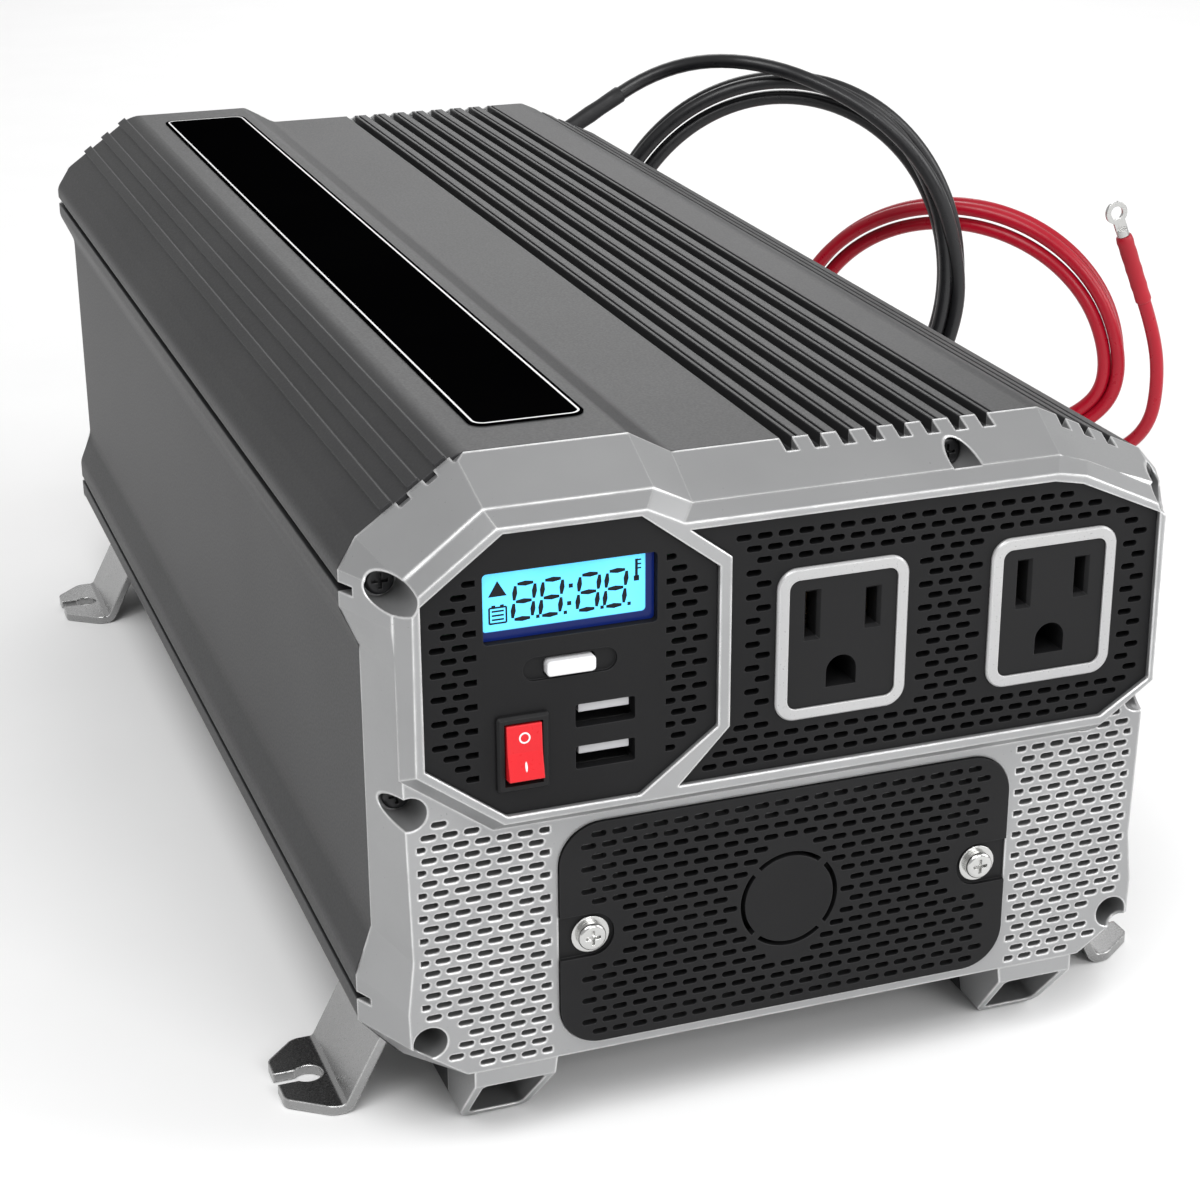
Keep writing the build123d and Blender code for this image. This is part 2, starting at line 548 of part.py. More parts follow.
def outlet_panel():
    """Wide panel round the two socket outlets."""
    inner = (OUTLET_SIZE[0] - 2 * OUTLET_BORDER, OUTLET_SIZE[1] - 2 * OUTLET_BORDER)
    openings = [rounded_wire(*centred(x, OUTLET_Z, *inner, 0.1), 2.0) for x in OUTLET_XS]

    def keep(x0, x1, z):
        if min(edge_distance(OUTLET_PANEL, x, z) for x in (x0, x1)) < 1.3:
            return False
        return all(clear_of(centred(x, OUTLET_Z, *OUTLET_SIZE), x0, x1, z, 0.7) for x in OUTLET_XS)

    slots = slot_field((21.1, 121.8), (-24, 76, 75, 125), FACE_Y, keep)
    return panel_with_openings(OUTLET_PANEL, openings, slots)


def outlet_frame(x):
    """Raised silver ring round one outlet."""
    bounds = centred(x, OUTLET_Z, *OUTLET_SIZE)
    ring = rounded(*bounds, 4.0, FACE_Y - 0.8, FACE_Y)
    ring = ring.chamfer(0.35, None, ring.faces().sort_by(Axis.Y)[0].edges())
    gap = -OUTLET_BORDER
    return ring - rounded(*centred(x, OUTLET_Z, *OUTLET_SIZE, gap), 2.0, FACE_Y - 2, FACE_Y + 1)


def ground_hole(x, y0, y1):
    """Ground opening with a round top and a flat bottom."""
    z, half = OUTLET_Z - 6.6, 3.1
    return rod(x, z + 0.2, half, y0, y1) + block(x - half, x + half, y0, y1, z - 2.9, z + 0.2)


def receptacle(x):
    """Socket outlet body with two blade slots and a ground opening."""
    inner = (OUTLET_SIZE[0] - 2 * OUTLET_BORDER, OUTLET_SIZE[1] - 2 * OUTLET_BORDER)
    back = FACE_Y + RECEPTACLE_DEPTH
    body = rounded(*centred(x, OUTLET_Z, *inner, -0.05), 1.9, FACE_Y - 0.4, LEDGE_Y)
    body += rounded(*centred(x, OUTLET_Z, OUTLET_SIZE[0] + 1, OUTLET_SIZE[1] + 1), 2.0, LEDGE_Y, back)
    for offset_x, z0, z1 in ((-6.2, 100.3, 109.3), (6.2, 101.1, 108.4)):
        mid = x + offset_x
        body -= block(mid - 1.1, mid + 1.1, FACE_Y - 1, FACE_Y + 5, z0, z1)
        mouth = [(mid - 1.7, z0 - 0.6), (mid + 1.7, z0 - 0.6), (mid + 1.7, z1 + 0.6), (mid - 1.7, z1 + 0.6)]
        throat = [(mid - 1.0, z0 + 0.1), (mid + 1.0, z0 + 0.1), (mid + 1.0, z1 - 0.1), (mid - 1.0, z1 - 0.1)]
        body -= ruled(mouth, FACE_Y - 0.41, throat, FACE_Y + 0.6)
        body -= block(mid - 2.2, mid + 2.2, FACE_Y + 4, back - 3, z0 - 0.5, z1 + 0.5)
    return body - ground_hole(x, FACE_Y - 1, back - 4)


def blade_contact(x, z0, z1):
    """Folded spring contact behind one blade slot."""
    back = FACE_Y + RECEPTACLE_DEPTH - 3
    clip = block(x - 2.1, x + 2.1, FACE_Y + 6, back - 0.1, z0, z1)
    return clip - block(x - 1.3, x + 1.3, FACE_Y + 5, back - 1.2, z0 - 1, z1 + 1)


def receptacle_contacts():
    """All four blade contacts of the two outlets."""
    contacts = []
    for x in OUTLET_XS:
        contacts.append(blade_contact(x - 6.2, 100.3, 109.3))
        contacts.append(blade_contact(x + 6.2, 101.1, 108.4))
    return contacts


# ------------------------------------------------------------------ control parts
def lcd_window():
    """Clear window set back in its opening."""
    x0, x1, z0, z1 = LCD_BOX
    return rounded(x0 + 0.1, x1 - 0.1, z0 + 0.1, z1 - 0.1, 0.7, FACE_Y + 1.6, LEDGE_Y)


def lcd_module():
    """Display module behind the window."""
    return block(-63.2, -27.6, LEDGE_Y, LEDGE_Y + 5.0, 105.7, 122.7)


def menu_button():
    """Push button cap with a retaining flange and a stem."""
    cap = rounded(*centred(MENU_X, MENU_Z, *MENU_SIZE), 0.8, FACE_Y - 0.9, FACE_Y + 3.6)
    cap = cap.fillet(0.3, cap.faces().sort_by(Axis.Y)[0].edges())
    flange = rounded(*centred(MENU_X, MENU_Z, *MENU_SIZE, 0.9), 0.8, FACE_Y + 2.9, FACE_Y + 3.7)
    return cap + flange + rod(MENU_X, MENU_Z, 1.2, FACE_Y + 3.5, FACE_Y + 4.6)


def menu_tact_switch():
    """Tactile switch on the control board, behind the button's stem."""
    body = block(MENU_X - 3, MENU_X + 3, FACE_Y + 6.4, FACE_Y + 9.2, MENU_Z - 2.9, MENU_Z + 2.9)
    return body + rod(MENU_X, MENU_Z, 1.4, FACE_Y + 5.8, FACE_Y + 6.5)


def rocker_frame():
    """Frame of the power switch: flange, body through the panel and two pivot bores."""
    frame = rounded(*centred(ROCKER_X, ROCKER_Z, 10.0, 15.0), 0.6, FACE_Y - 1.2, FACE_Y)
    frame = frame.chamfer(0.5, None, frame.faces().sort_by(Axis.Y)[0].edges())
    frame += rounded(*centred(ROCKER_X, ROCKER_Z, 8.6, 13.8), 0.4, FACE_Y, FACE_Y + 14.0)
    frame -= block(*centred(ROCKER_X, ROCKER_Z, 7.4, 12.5)[:2], FACE_Y - 2, FACE_Y + 12.0,
                   *centred(ROCKER_X, ROCKER_Z, 7.4, 12.5)[2:])
    return frame - crossbar(ROCKER_PIVOT_Y, ROCKER_Z, 0.95, ROCKER_X - 4.1, ROCKER_X + 4.1)


def rocker_switch():
    """Rocker at rest, upper end pressed in, with its two pivot pins."""
    half_x, half_z = ROCKER_SIZE[0] / 2, ROCKER_SIZE[1] / 2
    profile = [(-4.9, -half_z), (-4.5, 0.0), (-4.9, half_z), (1.2, half_z), (2.6, 2.0),
               (2.6, -2.0), (1.2, -half_z)]
    lever = side_prism(profile, -half_x, half_x) + crossbar(0, 0, 0.9, -4.0, 4.0)
    turned = Rot(-ROCKER_TILT, 0, 0) * lever
    return Pos(ROCKER_X, ROCKER_PIVOT_Y, ROCKER_Z) * turned


def usb_shells():
    """Steel shells of the two charging ports behind the panel."""
    shells = []
    for z in USB_ZS:
        outer = rounded(*centred(USB_X, z, *USB_SIZE, 0.4), 0.7, LEDGE_Y, LEDGE_Y + 13.0)
        shells.append(outer - rounded(*centred(USB_X, z, *USB_SIZE), 0.4, LEDGE_Y - 1, LEDGE_Y + 12.6))
    return shells


def usb_tongues():
    """Contact tongues in the upper half of each port."""
    return [block(USB_X - 4.9, USB_X + 4.9, FACE_Y + 1.0, LEDGE_Y + 12.6, z + 0.3, z + 1.9)
            for z in USB_ZS]


def control_board():
    """L-shaped board behind the display, the button and the ports."""
    board = block(-67.0, -20.0, FACE_Y + 9.2, FACE_Y + 10.8, 96.5, 122.5)
    board += block(-47.6, -30.0, FACE_Y + 9.2, FACE_Y + 10.8, 78.5, 97.0)
    for z in USB_ZS:
        box = centred(USB_X, z, *USB_SIZE, 0.5)
        board -= block(box[0], box[1], FACE_Y + 8, FACE_Y + 12, box[2], box[3])
    return board


# ------------------------------------------------------------------ terminal cover
def keep_cover_slot(x0, x1, z):
    """Slots of the cover, clear of its edge, the knockout and the screw tabs."""
    x, reach = (x0 + x1) / 2, max(abs(x0), abs(x1))
    corner = inset(rectangle(-COVER_HALF, COVER_HALF, *COVER_Z), 1.6)
    if edge_distance(corner, x0, z) < 0.6 or edge_distance(corner, x1, z) < 0.6:
        return False
    dx, dz = reach - (COVER_HALF - 8.5), abs(z - COVER_MID_Z) - (COVER_MID_Z - COVER_Z[0] - 8.5)
    if dx > 0 and dz > 0 and math.hypot(dx, dz) > 6.6:
        return False
    if math.hypot(abs(x) + 1.2, z - COVER_MID_Z) < KNOCKOUT_R + 2.6:
        return False
    return reach < 34.8 or abs(z - COVER_MID_Z) > 6.0


def terminal_cover():
    """Slotted cover plate with a knockout ring and two recessed screw tabs."""
    outline = rectangle(-COVER_HALF, COVER_HALF, *COVER_Z)
    slots = slot_field((0.0, 20.2), (-46, 46, 21, 67), COVER_FRONT_Y, keep_cover_slot)
    face = Face(outline_wire(outline, COVER_FRONT_Y, [8.5] * 4), slots)
    cover = Solid.extrude(face, Vector(0, COVER_BACK_Y - COVER_FRONT_Y, 0))
    ring = rod(0, COVER_MID_Z, KNOCKOUT_R + 0.5, COVER_FRONT_Y - 1, COVER_BACK_Y + 1)
    ring -= rod(0, COVER_MID_Z, KNOCKOUT_R - 0.5, COVER_FRONT_Y - 1, COVER_BACK_Y + 1)
    for angle in (45, 135):
        ring -= Pos(0, COVER_BACK_Y, COVER_MID_Z) * Rot(0, angle, 0) * Box(1.6, 9, 30)
    cover -= ring
    for side in (-1, 1):
        tab = rounded(*sorted((side * 36.4, side * 60)), COVER_MID_Z - 4.6, COVER_MID_Z + 4.6, 4.5,
                      COVER_FRONT_Y - 1, COVER_FRONT_Y + 1.0)
        cover -= [tab, rod(side * COVER_SCREW_X, COVER_MID_Z, 1.6, COVER_FRONT_Y, COVER_BACK_Y + 1)]
    return cover


def cover_screws():
    """Screws of the cover."""
    seat = COVER_FRONT_Y + 0.4
    return [screw_along_y(side * COVER_SCREW_X, COVER_MID_Z, seat, -1, (2.8, 1.7), 1.3, 8.0)
            for side in (-1, 1)]


def cover_washers():
    """Washers under the cover screws."""
    return [rod(side * COVER_SCREW_X, COVER_MID_Z, 3.8, COVER_FRONT_Y + 0.4, COVER_FRONT_Y + 1.0)
            - rod(side * COVER_SCREW_X, COVER_MID_Z, 1.5, COVER_FRONT_Y, COVER_FRONT_Y + 2)
            for side in (-1, 1)]


def terminal_block():
    """Three-pole barrier block behind the cover, with its fixing ears."""
    y0 = PLATE_Y + SKIN
    body = block(-32, 32, y0 + 1.0, y0 + 16, 30, 52) + block(-37.4, 37.4, y0, y0 + 3, 34, 50)
    for x in (-20, 0, 20):
        body -= block(x - 8, x + 8, y0 - 1, y0 + 8, 32, 53)
        body -= rod(x, 42, 1.85, y0 + 7, y0 + 13.5)
    return body


def terminal_block_screws():
    """Clamp screws in the three bays."""
    return [screw_along_y(x, 42, PLATE_Y + SKIN + 8, -1, (3.4, 2.2), 1.8, 5.0)
            for x in (-20, 0, 20)]


# ------------------------------------------------------------------ brackets and label
def bracket_screw_places():
    """Positions (x, y) of all bracket screws."""
    return [(side * BRACKET_SCREW_X, y + step) for side in (-1, 1) for y in BRACKET_YS
            for step in (-BRACKET_SCREW_STEP, BRACKET_SCREW_STEP)]


def mounting_bracket(side, y):
    """Bent steel bracket with an open keyhole slot in its foot tab."""
    near = y - 14.0
    plate = prism(BRACKET_PROFILE, near, near + 28.0, BRACKET_RADII)
    corners = [(60, -13.8), (87.5, -13.8), (BRACKET_TIP, -7.6), (BRACKET_TIP, 7.2), (89.4, 13.8), (60, 13.8)]
    outline = [(x, y + dy, -1) for x, dy in corners]
    plan = Face(Wire(FilletPolyline(*outline, radius=[1.5, 4.0, 2.5, 2.5, 4.0, 1.5], close=True).edges()))
    plate = plate & Solid.extrude(plan, Vector(0, 0, 20))
    plate -= upright(KEYHOLE_X, y, KEYHOLE_R, -1, 3)
    half = KEYHOLE_MOUTH / 2
    plate -= block(KEYHOLE_X, BRACKET_TIP + 1, y - half, y + half, -1, 3)
    for step in (-BRACKET_SCREW_STEP, BRACKET_SCREW_STEP):
        plate -= upright(BRACKET_SCREW_X, y + step, 1.7, 14, 18)
    return plate if side > 0 else mirror(plate, about=Plane.YZ)


def bracket_screws():
    """Pan-head screws under the brackets."""
    screws = []
    for x, y in bracket_screw_places():
        head = upright(x, y, 3.4, 12.8, 15.0)
        head = head.fillet(1.0, [head.edges().filter_by(GeomType.CIRCLE).sort_by(Axis.Z)[0]])
        head -= [block(x - 1.9, x + 1.9, y - 0.4, y + 0.4, 12, 13.9),
                 block(x - 0.4, x + 0.4, y - 1.9, y + 1.9, 12, 13.9)]
        screws.append(head + upright(x, y, 1.6, 14.9, 22.0))
    return screws


def label_plate():
    """Long blank label on the raised part of the roof."""
    x0, x1, y0, y1 = -54.4, -31.7, FACE_Y + 29.0, FACE_Y + 321.0
    points = [(x0, y0, 138.8), (x1, y0, 138.8), (x1, y1, 138.8), (x0, y1, 138.8)]
    wire = Wire(FilletPolyline(*points, radius=[3.0] * 4, close=True).edges())
    return Solid.extrude(Face(wire), Vector(0, 0, 0.3))


# ------------------------------------------------------------------ rear parts
def rear_panel():
    """Rear panel with fan openings and holes for the terminal posts."""
    panel = prism(inset(NOSE_EDGE, 4.0), TAIL_LEDGE_Y, TAIL_FACE_Y)
    y0, y1 = TAIL_LEDGE_Y - 1, TAIL_FACE_Y + 1
    cuts = [rod(x, FAN_Z, FAN_HOLE_R, y0, y1) for x in FAN_XS]
    cuts += [rod(x, z, 1.7, y0, y1) for x, z in fan_screw_places()]
    cuts += [rod(x, POST_Z, 3.3, y0, y1) for x in POST_XS] + [rod(0, GROUND_Z, GROUND_SHANK_R + 0.1, y0, y1)]
    return panel - cuts


def fan_screw_places():
    """Positions (x, z) of the eight fan screws."""
    return [(x + dx, FAN_Z + dz) for x in FAN_XS for dx in (-FAN_SCREW_STEP, FAN_SCREW_STEP)
            for dz in (-FAN_SCREW_STEP, FAN_SCREW_STEP)]


def fan_frame(x):
    """Square fan housing with three struts that carry the bearing."""
    back = TAIL_LEDGE_Y
    front = back - FAN_DEPTH
    frame = rounded(*centred(x, FAN_Z, 2 * FAN_HALF, 2 * FAN_HALF), 5.0, front, back)
    frame -= rod(x, FAN_Z, FAN_HOLE_R, front - 1, back + 1)
    frame += rod(x, FAN_Z, 14.0, front, front + 2.4)
    for k in range(3):
        strut = block(0, 29.2, front, front + 2.4, -1.5, 1.5)
        frame += Pos(x, 0, FAN_Z) * Rot(0, 120 * k + 30, 0) * strut
    frame -= rod(x, FAN_Z, SHAFT_R + 0.05, front - 1, front + 4)
    for dx in (-FAN_SCREW_STEP, FAN_SCREW_STEP):
        for dz in (-FAN_SCREW_STEP, FAN_SCREW_STEP):
            frame -= rod(x + dx, FAN_Z + dz, 1.75, front - 1, back + 1)
    return frame


def fan_rotor(x):
    """Fan wheel: hub, pitched blades and the shaft."""
    front = TAIL_LEDGE_Y - FAN_DEPTH
    rotor = rod(x, FAN_Z, 15.0, front + 3.0, front + 17.0)
    blade = Pos(20.0, front + 10.0, 0) * Rot(38, 0, 0) * Box(13.4, 1.3, 14.0)
    for k in range(FAN_BLADES):
        rotor += Pos(x, 0, FAN_Z) * Rot(0, 360 * k / FAN_BLADES, 0) * blade
    return rotor + rod(x, FAN_Z, SHAFT_R, front + 0.3, front + 3.5)


def fan_guard(x):
    """Wire finger guard: rings, two crossing bars and four fixing eyes."""
    y0, y1 = TAIL_FACE_Y, TAIL_FACE_Y + 1.6
    guard = None
    for radius in (8.0, 14.0, 20.0, 26.0):
        ring = rod(x, FAN_Z, radius + 0.7, y0, y1) - rod(x, FAN_Z, radius - 0.7, y0 - 1, y1 + 1)
        guard = ring if guard is None else guard + ring
    for angle in (45, 135):
        bar = block(-33.0, 33.0, y0, y1, -0.8, 0.8)
        guard += Pos(x, 0, FAN_Z) * Rot(0, angle, 0) * bar
    for dx in (-FAN_SCREW_STEP, FAN_SCREW_STEP):
        for dz in (-FAN_SCREW_STEP, FAN_SCREW_STEP):
            guard += rod(x + dx, FAN_Z + dz, 3.6, y0, y1)
            guard -= rod(x + dx, FAN_Z + dz, 1.7, y0 - 1, y1 + 1)
    return guard


def fan_screws():
    """Screws through the guards and the panel into the fan housings."""
    seat = TAIL_FACE_Y + 1.6
    return [screw_along_y(x, z, seat, 1, (2.9, 1.8), 1.6, 18.0) for x, z in fan_screw_places()]


def dc_insulator(x):
    """Stepped insulator that carries one terminal post."""
    body = rod(x, POST_Z, 11.0, TAIL_FACE_Y, TAIL_FACE_Y + 4.0)
    body = body.fillet(1.0, [body.edges().filter_by(GeomType.CIRCLE).sort_by(Axis.Y)[-1]])
    body += rod(x, POST_Z, 8.0, TAIL_FACE_Y + 3.5, LUG_Y[0])
    return body - rod(x, POST_Z, POST_SHANK_R + 0.05, TAIL_FACE_Y - 1, LUG_Y[0] + 1)


def dc_stud(x):
    """Terminal stud: its shank up to the nut's face, and its free end with a chamfered tip."""
    tip = rod(x, POST_Z, POST_STUD_R, NUT_FACE_Y, STUD_TIP_Y)
    tip = tip.chamfer(0.6, None, [tip.edges().filter_by(GeomType.CIRCLE).sort_by(Axis.Y)[-1]])
    return tip + rod(x, POST_Z, POST_SHANK_R, FACE_Y + 330.0, NUT_FACE_Y)


def dc_nuts():
    """Outer clamp nuts and inner lock nuts of both posts."""
    nuts = []
    for x in POST_XS:
        for y0, y1 in ((LUG_Y[1] + WASHER, NUT_FACE_Y), (TAIL_LEDGE_Y - 5.0, TAIL_LEDGE_Y)):
            nuts.append(hexagon(x, POST_Z, 10.0, y0, y1) - rod(x, POST_Z, POST_SHANK_R, y0 - 1, y1 + 1))
    return nuts


def dc_washers():
    """Washers between lugs and outer nuts."""
    return [rod(x, POST_Z, 6.0, LUG_Y[1], LUG_Y[1] + WASHER)
            - rod(x, POST_Z, POST_SHANK_R + 0.1, LUG_Y[1] - 1, LUG_Y[1] + 3) for x in POST_XS]


def ground_stud():
    """Chassis ground stud with its inner head and outer nut."""
    stud = hexagon(0, GROUND_Z, 8.0, TAIL_LEDGE_Y - 3.5, TAIL_LEDGE_Y)
    stud += rod(0, GROUND_Z, GROUND_SHANK_R, TAIL_LEDGE_Y - 1, TAIL_FACE_Y + GROUND_NUT)
    stud += rod(0, GROUND_Z, GROUND_STUD_R, TAIL_FACE_Y + GROUND_NUT, TAIL_FACE_Y + 13.0)
    nut = hexagon(0, GROUND_Z, 8.0, TAIL_FACE_Y, TAIL_FACE_Y + GROUND_NUT)
    return [stud, nut - rod(0, GROUND_Z, GROUND_SHANK_R, TAIL_FACE_Y - 1, TAIL_FACE_Y + GROUND_NUT + 1)]


# ------------------------------------------------------------------ electronics
def main_board():
    """Main circuit board with holes over its standoffs."""
    board = block(-BOARD_HALF, BOARD_HALF, BOARD_Y[0], BOARD_Y[1], *BOARD_Z)
    return board - [upright(x, y, 1.7, 24, 29) for x, y in standoff_places()]


def standoff_places():
    """Positions (x, y) of the board standoffs."""
    return [(x, y) for x in (-62.0, 62.0) for y in (BOARD_Y[0] + 10, -6.0, BOARD_Y[1] - 10)]


def board_standoffs():
    """Standoffs between the tray and the board."""
    return [upright(x, y, 3.2, 20.0, BOARD_Z[0]) for x, y in standoff_places()]


def board_screws():
    """Screws that hold the board on its standoffs."""
    return [upright(x, y, 2.8, BOARD_Z[1], BOARD_Z[1] + 2.0) for x, y in standoff_places()]


def transformer_core(y):
    """Ferrite core with a centre leg and two windows."""
    z0 = BOARD_Z[1] + 3.0
    core = block(-22, 22, y - 10, y + 10, z0, z0 + 42)
    return core - [block(-16, -6, y - 11, y + 11, z0 + 6, z0 + 36),
                   block(6, 16, y - 11, y + 11, z0 + 6, z0 + 36)]


def transformer_winding(y):
    """Coil former round the centre leg, standing on the board."""
    z0 = BOARD_Z[1] + 3.0
    coil = block(-15.5, 15.5, y - 18, y + 18, z0 + 6.5, z0 + 35.5)
    coil -= block(-6.0, 6.0, y - 10.0, y + 10.0, z0, z0 + 50)
    return coil


def bulk_capacitors():
    """Four bulk capacitors behind the front panels."""
    return [upright(x, y, 11.0, BOARD_Z[1], BOARD_Z[1] + 38.0)
            for x in (-14.0, 14.0) for y in (FACE_Y + 48.0, FACE_Y + 72.0)]


def heatsink(side):
    """Finned heatsink along one side wall."""
    y0, y1 = FACE_Y + 62.0, FACE_Y + 296.0
    sink = block(48.0, 52.0, y0, y1, BOARD_Z[1], 100.0)
    for k in range(8):
        z = BOARD_Z[1] + 4.0 + 9.0 * k
        sink += block(51.5, 68.0, y0, y1, z, z + 2.2)
    return sink if side > 0 else mirror(sink, about=Plane.YZ)


def power_transistors():
    """Rows of transistors clamped to both heatsinks."""
    packs = []
    for side in (-1, 1):
        for k in range(6):
            y = FACE_Y + 85.0 + 36.0 * k
            x0, x1 = sorted((side * 43.0, side * 48.0))
            pack = block(x0, x1, y - 8, y + 8, 40, 61)
            for step in (-5.4, 0, 5.4):
                pack += block(side * 45.0, side * 45.8, y + step - 0.6, y + step + 0.6, BOARD_Z[1], 41)
            packs.append(pack)
    return packs


# ------------------------------------------------------------------ leads
def corner_radii(points):
    """Largest comfortable bend radius at each inner point of a route."""
    radii = []
    for before, here, after in zip(points, points[1:], points[2:]):
        a, b = Vector(*here) - Vector(*before), Vector(*after) - Vector(*here)
        half_turn = math.radians(a.get_angle(b)) / 2
        radii.append(0.45 * min(a.length, b.length) / math.tan(half_turn))
    return radii


def cable(points, name):
    """Round lead along straight runs joined by tangent arcs."""
    radii = corner_radii(points)
    path = FilletPolyline(*points, radius=radii)
    start = Plane(points[0], z_dir=Vector(*points[1]) - Vector(*points[0]))
    section = Face(Wire.make_circle(CABLE_R, start))
    tube = Solid.sweep(section, path=Wire(path.edges()))
    expected = math.pi * CABLE_R ** 2 * path.length
    print(f"{name}: length {path.length:.1f}, smallest bend {min(radii):.1f}, "
          f"volume {tube.volume:.0f} of {expected:.0f}")
    return tube


def towards(points):
    """Direction of the last run of a route."""
    return (Vector(*points[-1]) - Vector(*points[-2])).normalized()


def sleeve(start, direction, length):
    """Heat-shrink sleeve that continues a lead."""
    disc = Face(Wire.make_circle(SLEEVE_R, Plane(start, z_dir=direction)))
    return Solid.extrude(disc, direction * length)


def ring_lug(ring_centre, inward, normal, sizes):
    """Crimp lug: flat ring and tongue, with a barrel that ends where the sleeve starts."""
    ring_r, hole_r, reach, barrel_r, thickness = sizes
    plane = Plane(ring_centre, x_dir=inward, z_dir=normal - inward * normal.dot(inward))
    ring = Cylinder(ring_r, thickness)
    tongue = Pos(ring_r * 0.9, 0, 0) * Box(ring_r * 1.4, barrel_r * 2, thickness)
    barrel_length = reach - ring_r * 1.57
    barrel = Pos(reach - barrel_length / 2, 0, 0) * Rot(0, 90, 0) * Cylinder(barrel_r, barrel_length)
    hole = Cylinder(hole_r, 3 * thickness)
    return (plane * (ring + tongue + barrel - hole)).solids()[0]


def coil_solid(corner, heading, centre, half_width, heights):
    """Closed ring for a standing coil: two half ellipses in a vertical plane."""
    angle = math.radians(heading)
    along = Vector(math.cos(angle), -math.sin(angle), 0)
    normal = Vector(math.sin(angle), math.cos(angle), 0)
    origin = Vector(corner[0], corner[1], centre[1]) + along * centre[0]

    def ring(shrink, extra):
        plane = Plane(origin - normal * (COIL_DEPTH / 2 + extra), x_dir=along, z_dir=normal)
        halves = []
        for height, first in ((heights[0], 0), (heights[1], 180)):
            halves.append(Edge.make_ellipse(half_width - shrink, height - shrink, plane, first, first + 180))
        return Solid.extrude(Face(Wire(halves)), normal * (COIL_DEPTH + 2 * extra))

    return ring(0, 0) - ring(COIL_BAND, 1)


def post_lug_pose(x, angle):
    """Centre of a lug on its post, and the direction of its barrel."""
    direction = Vector(math.cos(math.radians(angle)), 0, math.sin(math.radians(angle)))
    centre = Vector(x, sum(LUG_Y) / 2, POST_Z)
    return centre, direction


def lead_parts(name, post, route, tail, coil, free_sleeve, lug_normal):
    """All pieces of one lead, saved as its own nodes; post = (x, angle, first run)."""
    centre, direction = post_lug_pose(*post[:2])
    start = centre + direction * SLEEVE_END
    bend = start + direction * post[2]
    save(f"{name}_lead", cable([tuple(start), tuple(bend)] + route, f"{name}_lead"))
    save(f"{name}_coil", coil)
    save(f"{name}_tail", cable(tail, f"{name}_tail"))
    way = towards(tail)
    end = Vector(*tail[-1])
    save(f"{name}_sleeves", [sleeve(centre + direction * POST_LUG[2], direction, SLEEVE_END - POST_LUG[2]),
                             sleeve(end, way, free_sleeve)])
    free_centre = end + way * (free_sleeve + FREE_LUG[2])
    save(f"{name}_lugs", [ring_lug(centre, direction, Vector(0, 1, 0), POST_LUG),
                          ring_lug(free_centre, -way, lug_normal, FREE_LUG)])


def save_leads():
    """Negative and positive leads behind the inverter, each with a standing coil."""
    y = FACE_Y
    negative_route = [(136.0, y + 338.5, 141.3), (168.0, y + 327.5, 126.8),
                      (190.0, y + 319.5, 103.5), (199.3, y + 324.2, 74.0)]
    negative_tail = [(130.1, y + 349.6, 6.5), (103.8, y + 359.2, 3.0), (72.0, y + 370.0, 3.9),
                     (45.0, y + 375.5, 3.4)]
    positive_route = [(70.0, y + 384.0, 22.0), (108.0, y + 398.5, 11.5), (156.0, y + 396.0, 7.0),
                      (192.0, y + 366.0, 8.5)]
    positive_tail = [(230.2, y + 333.7, 6.5), (247.0, y + 319.5, 5.0), (257.5, y + 309.0, 6.5),
                     (264.0, y + 301.5, 17.5), (264.8, y + 300.0, 33.0), (262.4, y + 300.0, 48.6),
                     (257.0, y + 300.0, 61.5)]
    negative_coil = coil_solid((85.0, y + 366.0), 20.0, (65.4, 67.3), 62.0, (66.9, 69.9))
    positive_coil = coil_solid((175.0, y + 380.0), 40.0, (50.0, 33.5), 60.0, (33.1, 56.3))
    lead_parts("negative", (POST_XS[1], NEGATIVE_ANGLE, 17.0), negative_route, negative_tail,
               negative_coil, 16.0, Vector(0, 0, 1))
    lead_parts("positive", (POST_XS[0], POSITIVE_ANGLE, 36.0), positive_route, positive_tail,
               positive_coil, 24.4, Vector(0, 1, 0))


# ------------------------------------------------------------------ write all sub-parts
def save_shell():
    """Extrusions, bezels, panels, brackets and their fasteners."""
    save("top_shell", top_shell())
    save("base_tray", base_tray())
    save("front_bezel", front_bezel())
    save("rear_bezel", rear_bezel())
    save("front_bezel_screws", bezel_screws(PLATE_Y, BODY_FRONT_Y))
    save("rear_bezel_screws", bezel_screws(TAIL_Y, BODY_REAR_Y))
    save("label_plate", label_plate())
    save("rear_panel", rear_panel())
    for side, side_name in ((-1, "left"), (1, "right")):
        for y, end_name in zip(BRACKET_YS, ("front", "rear")):
            save(f"bracket_{end_name}_{side_name}", mounting_bracket(side, y))
    save("bracket_screws", bracket_screws())


def save_front():
    """Controls, outlets and the terminal cover."""
    save("control_panel", control_panel())
    save("outlet_panel", outlet_panel())
    save("lcd_window", lcd_window())
    save("lcd_module", lcd_module())
    save("menu_button", menu_button())
    save("menu_tact_switch", menu_tact_switch())
    save("rocker_frame", rocker_frame())
    save("rocker_switch", rocker_switch())
    save("usb_shells", usb_shells())
    save("usb_tongues", usb_tongues())
    save("control_board", control_board())
    save("outlet_frames", [outlet_frame(x) for x in OUTLET_XS])
    for x, name in zip(OUTLET_XS, ("left", "right")):
        save(f"receptacle_{name}", receptacle(x))
    save("receptacle_contacts", receptacle_contacts())
    save("terminal_cover", terminal_cover())
    save("cover_screws", cover_screws())
    save("cover_washers", cover_washers())
    save("terminal_block", terminal_block())
    save("terminal_block_screws", terminal_block_screws())


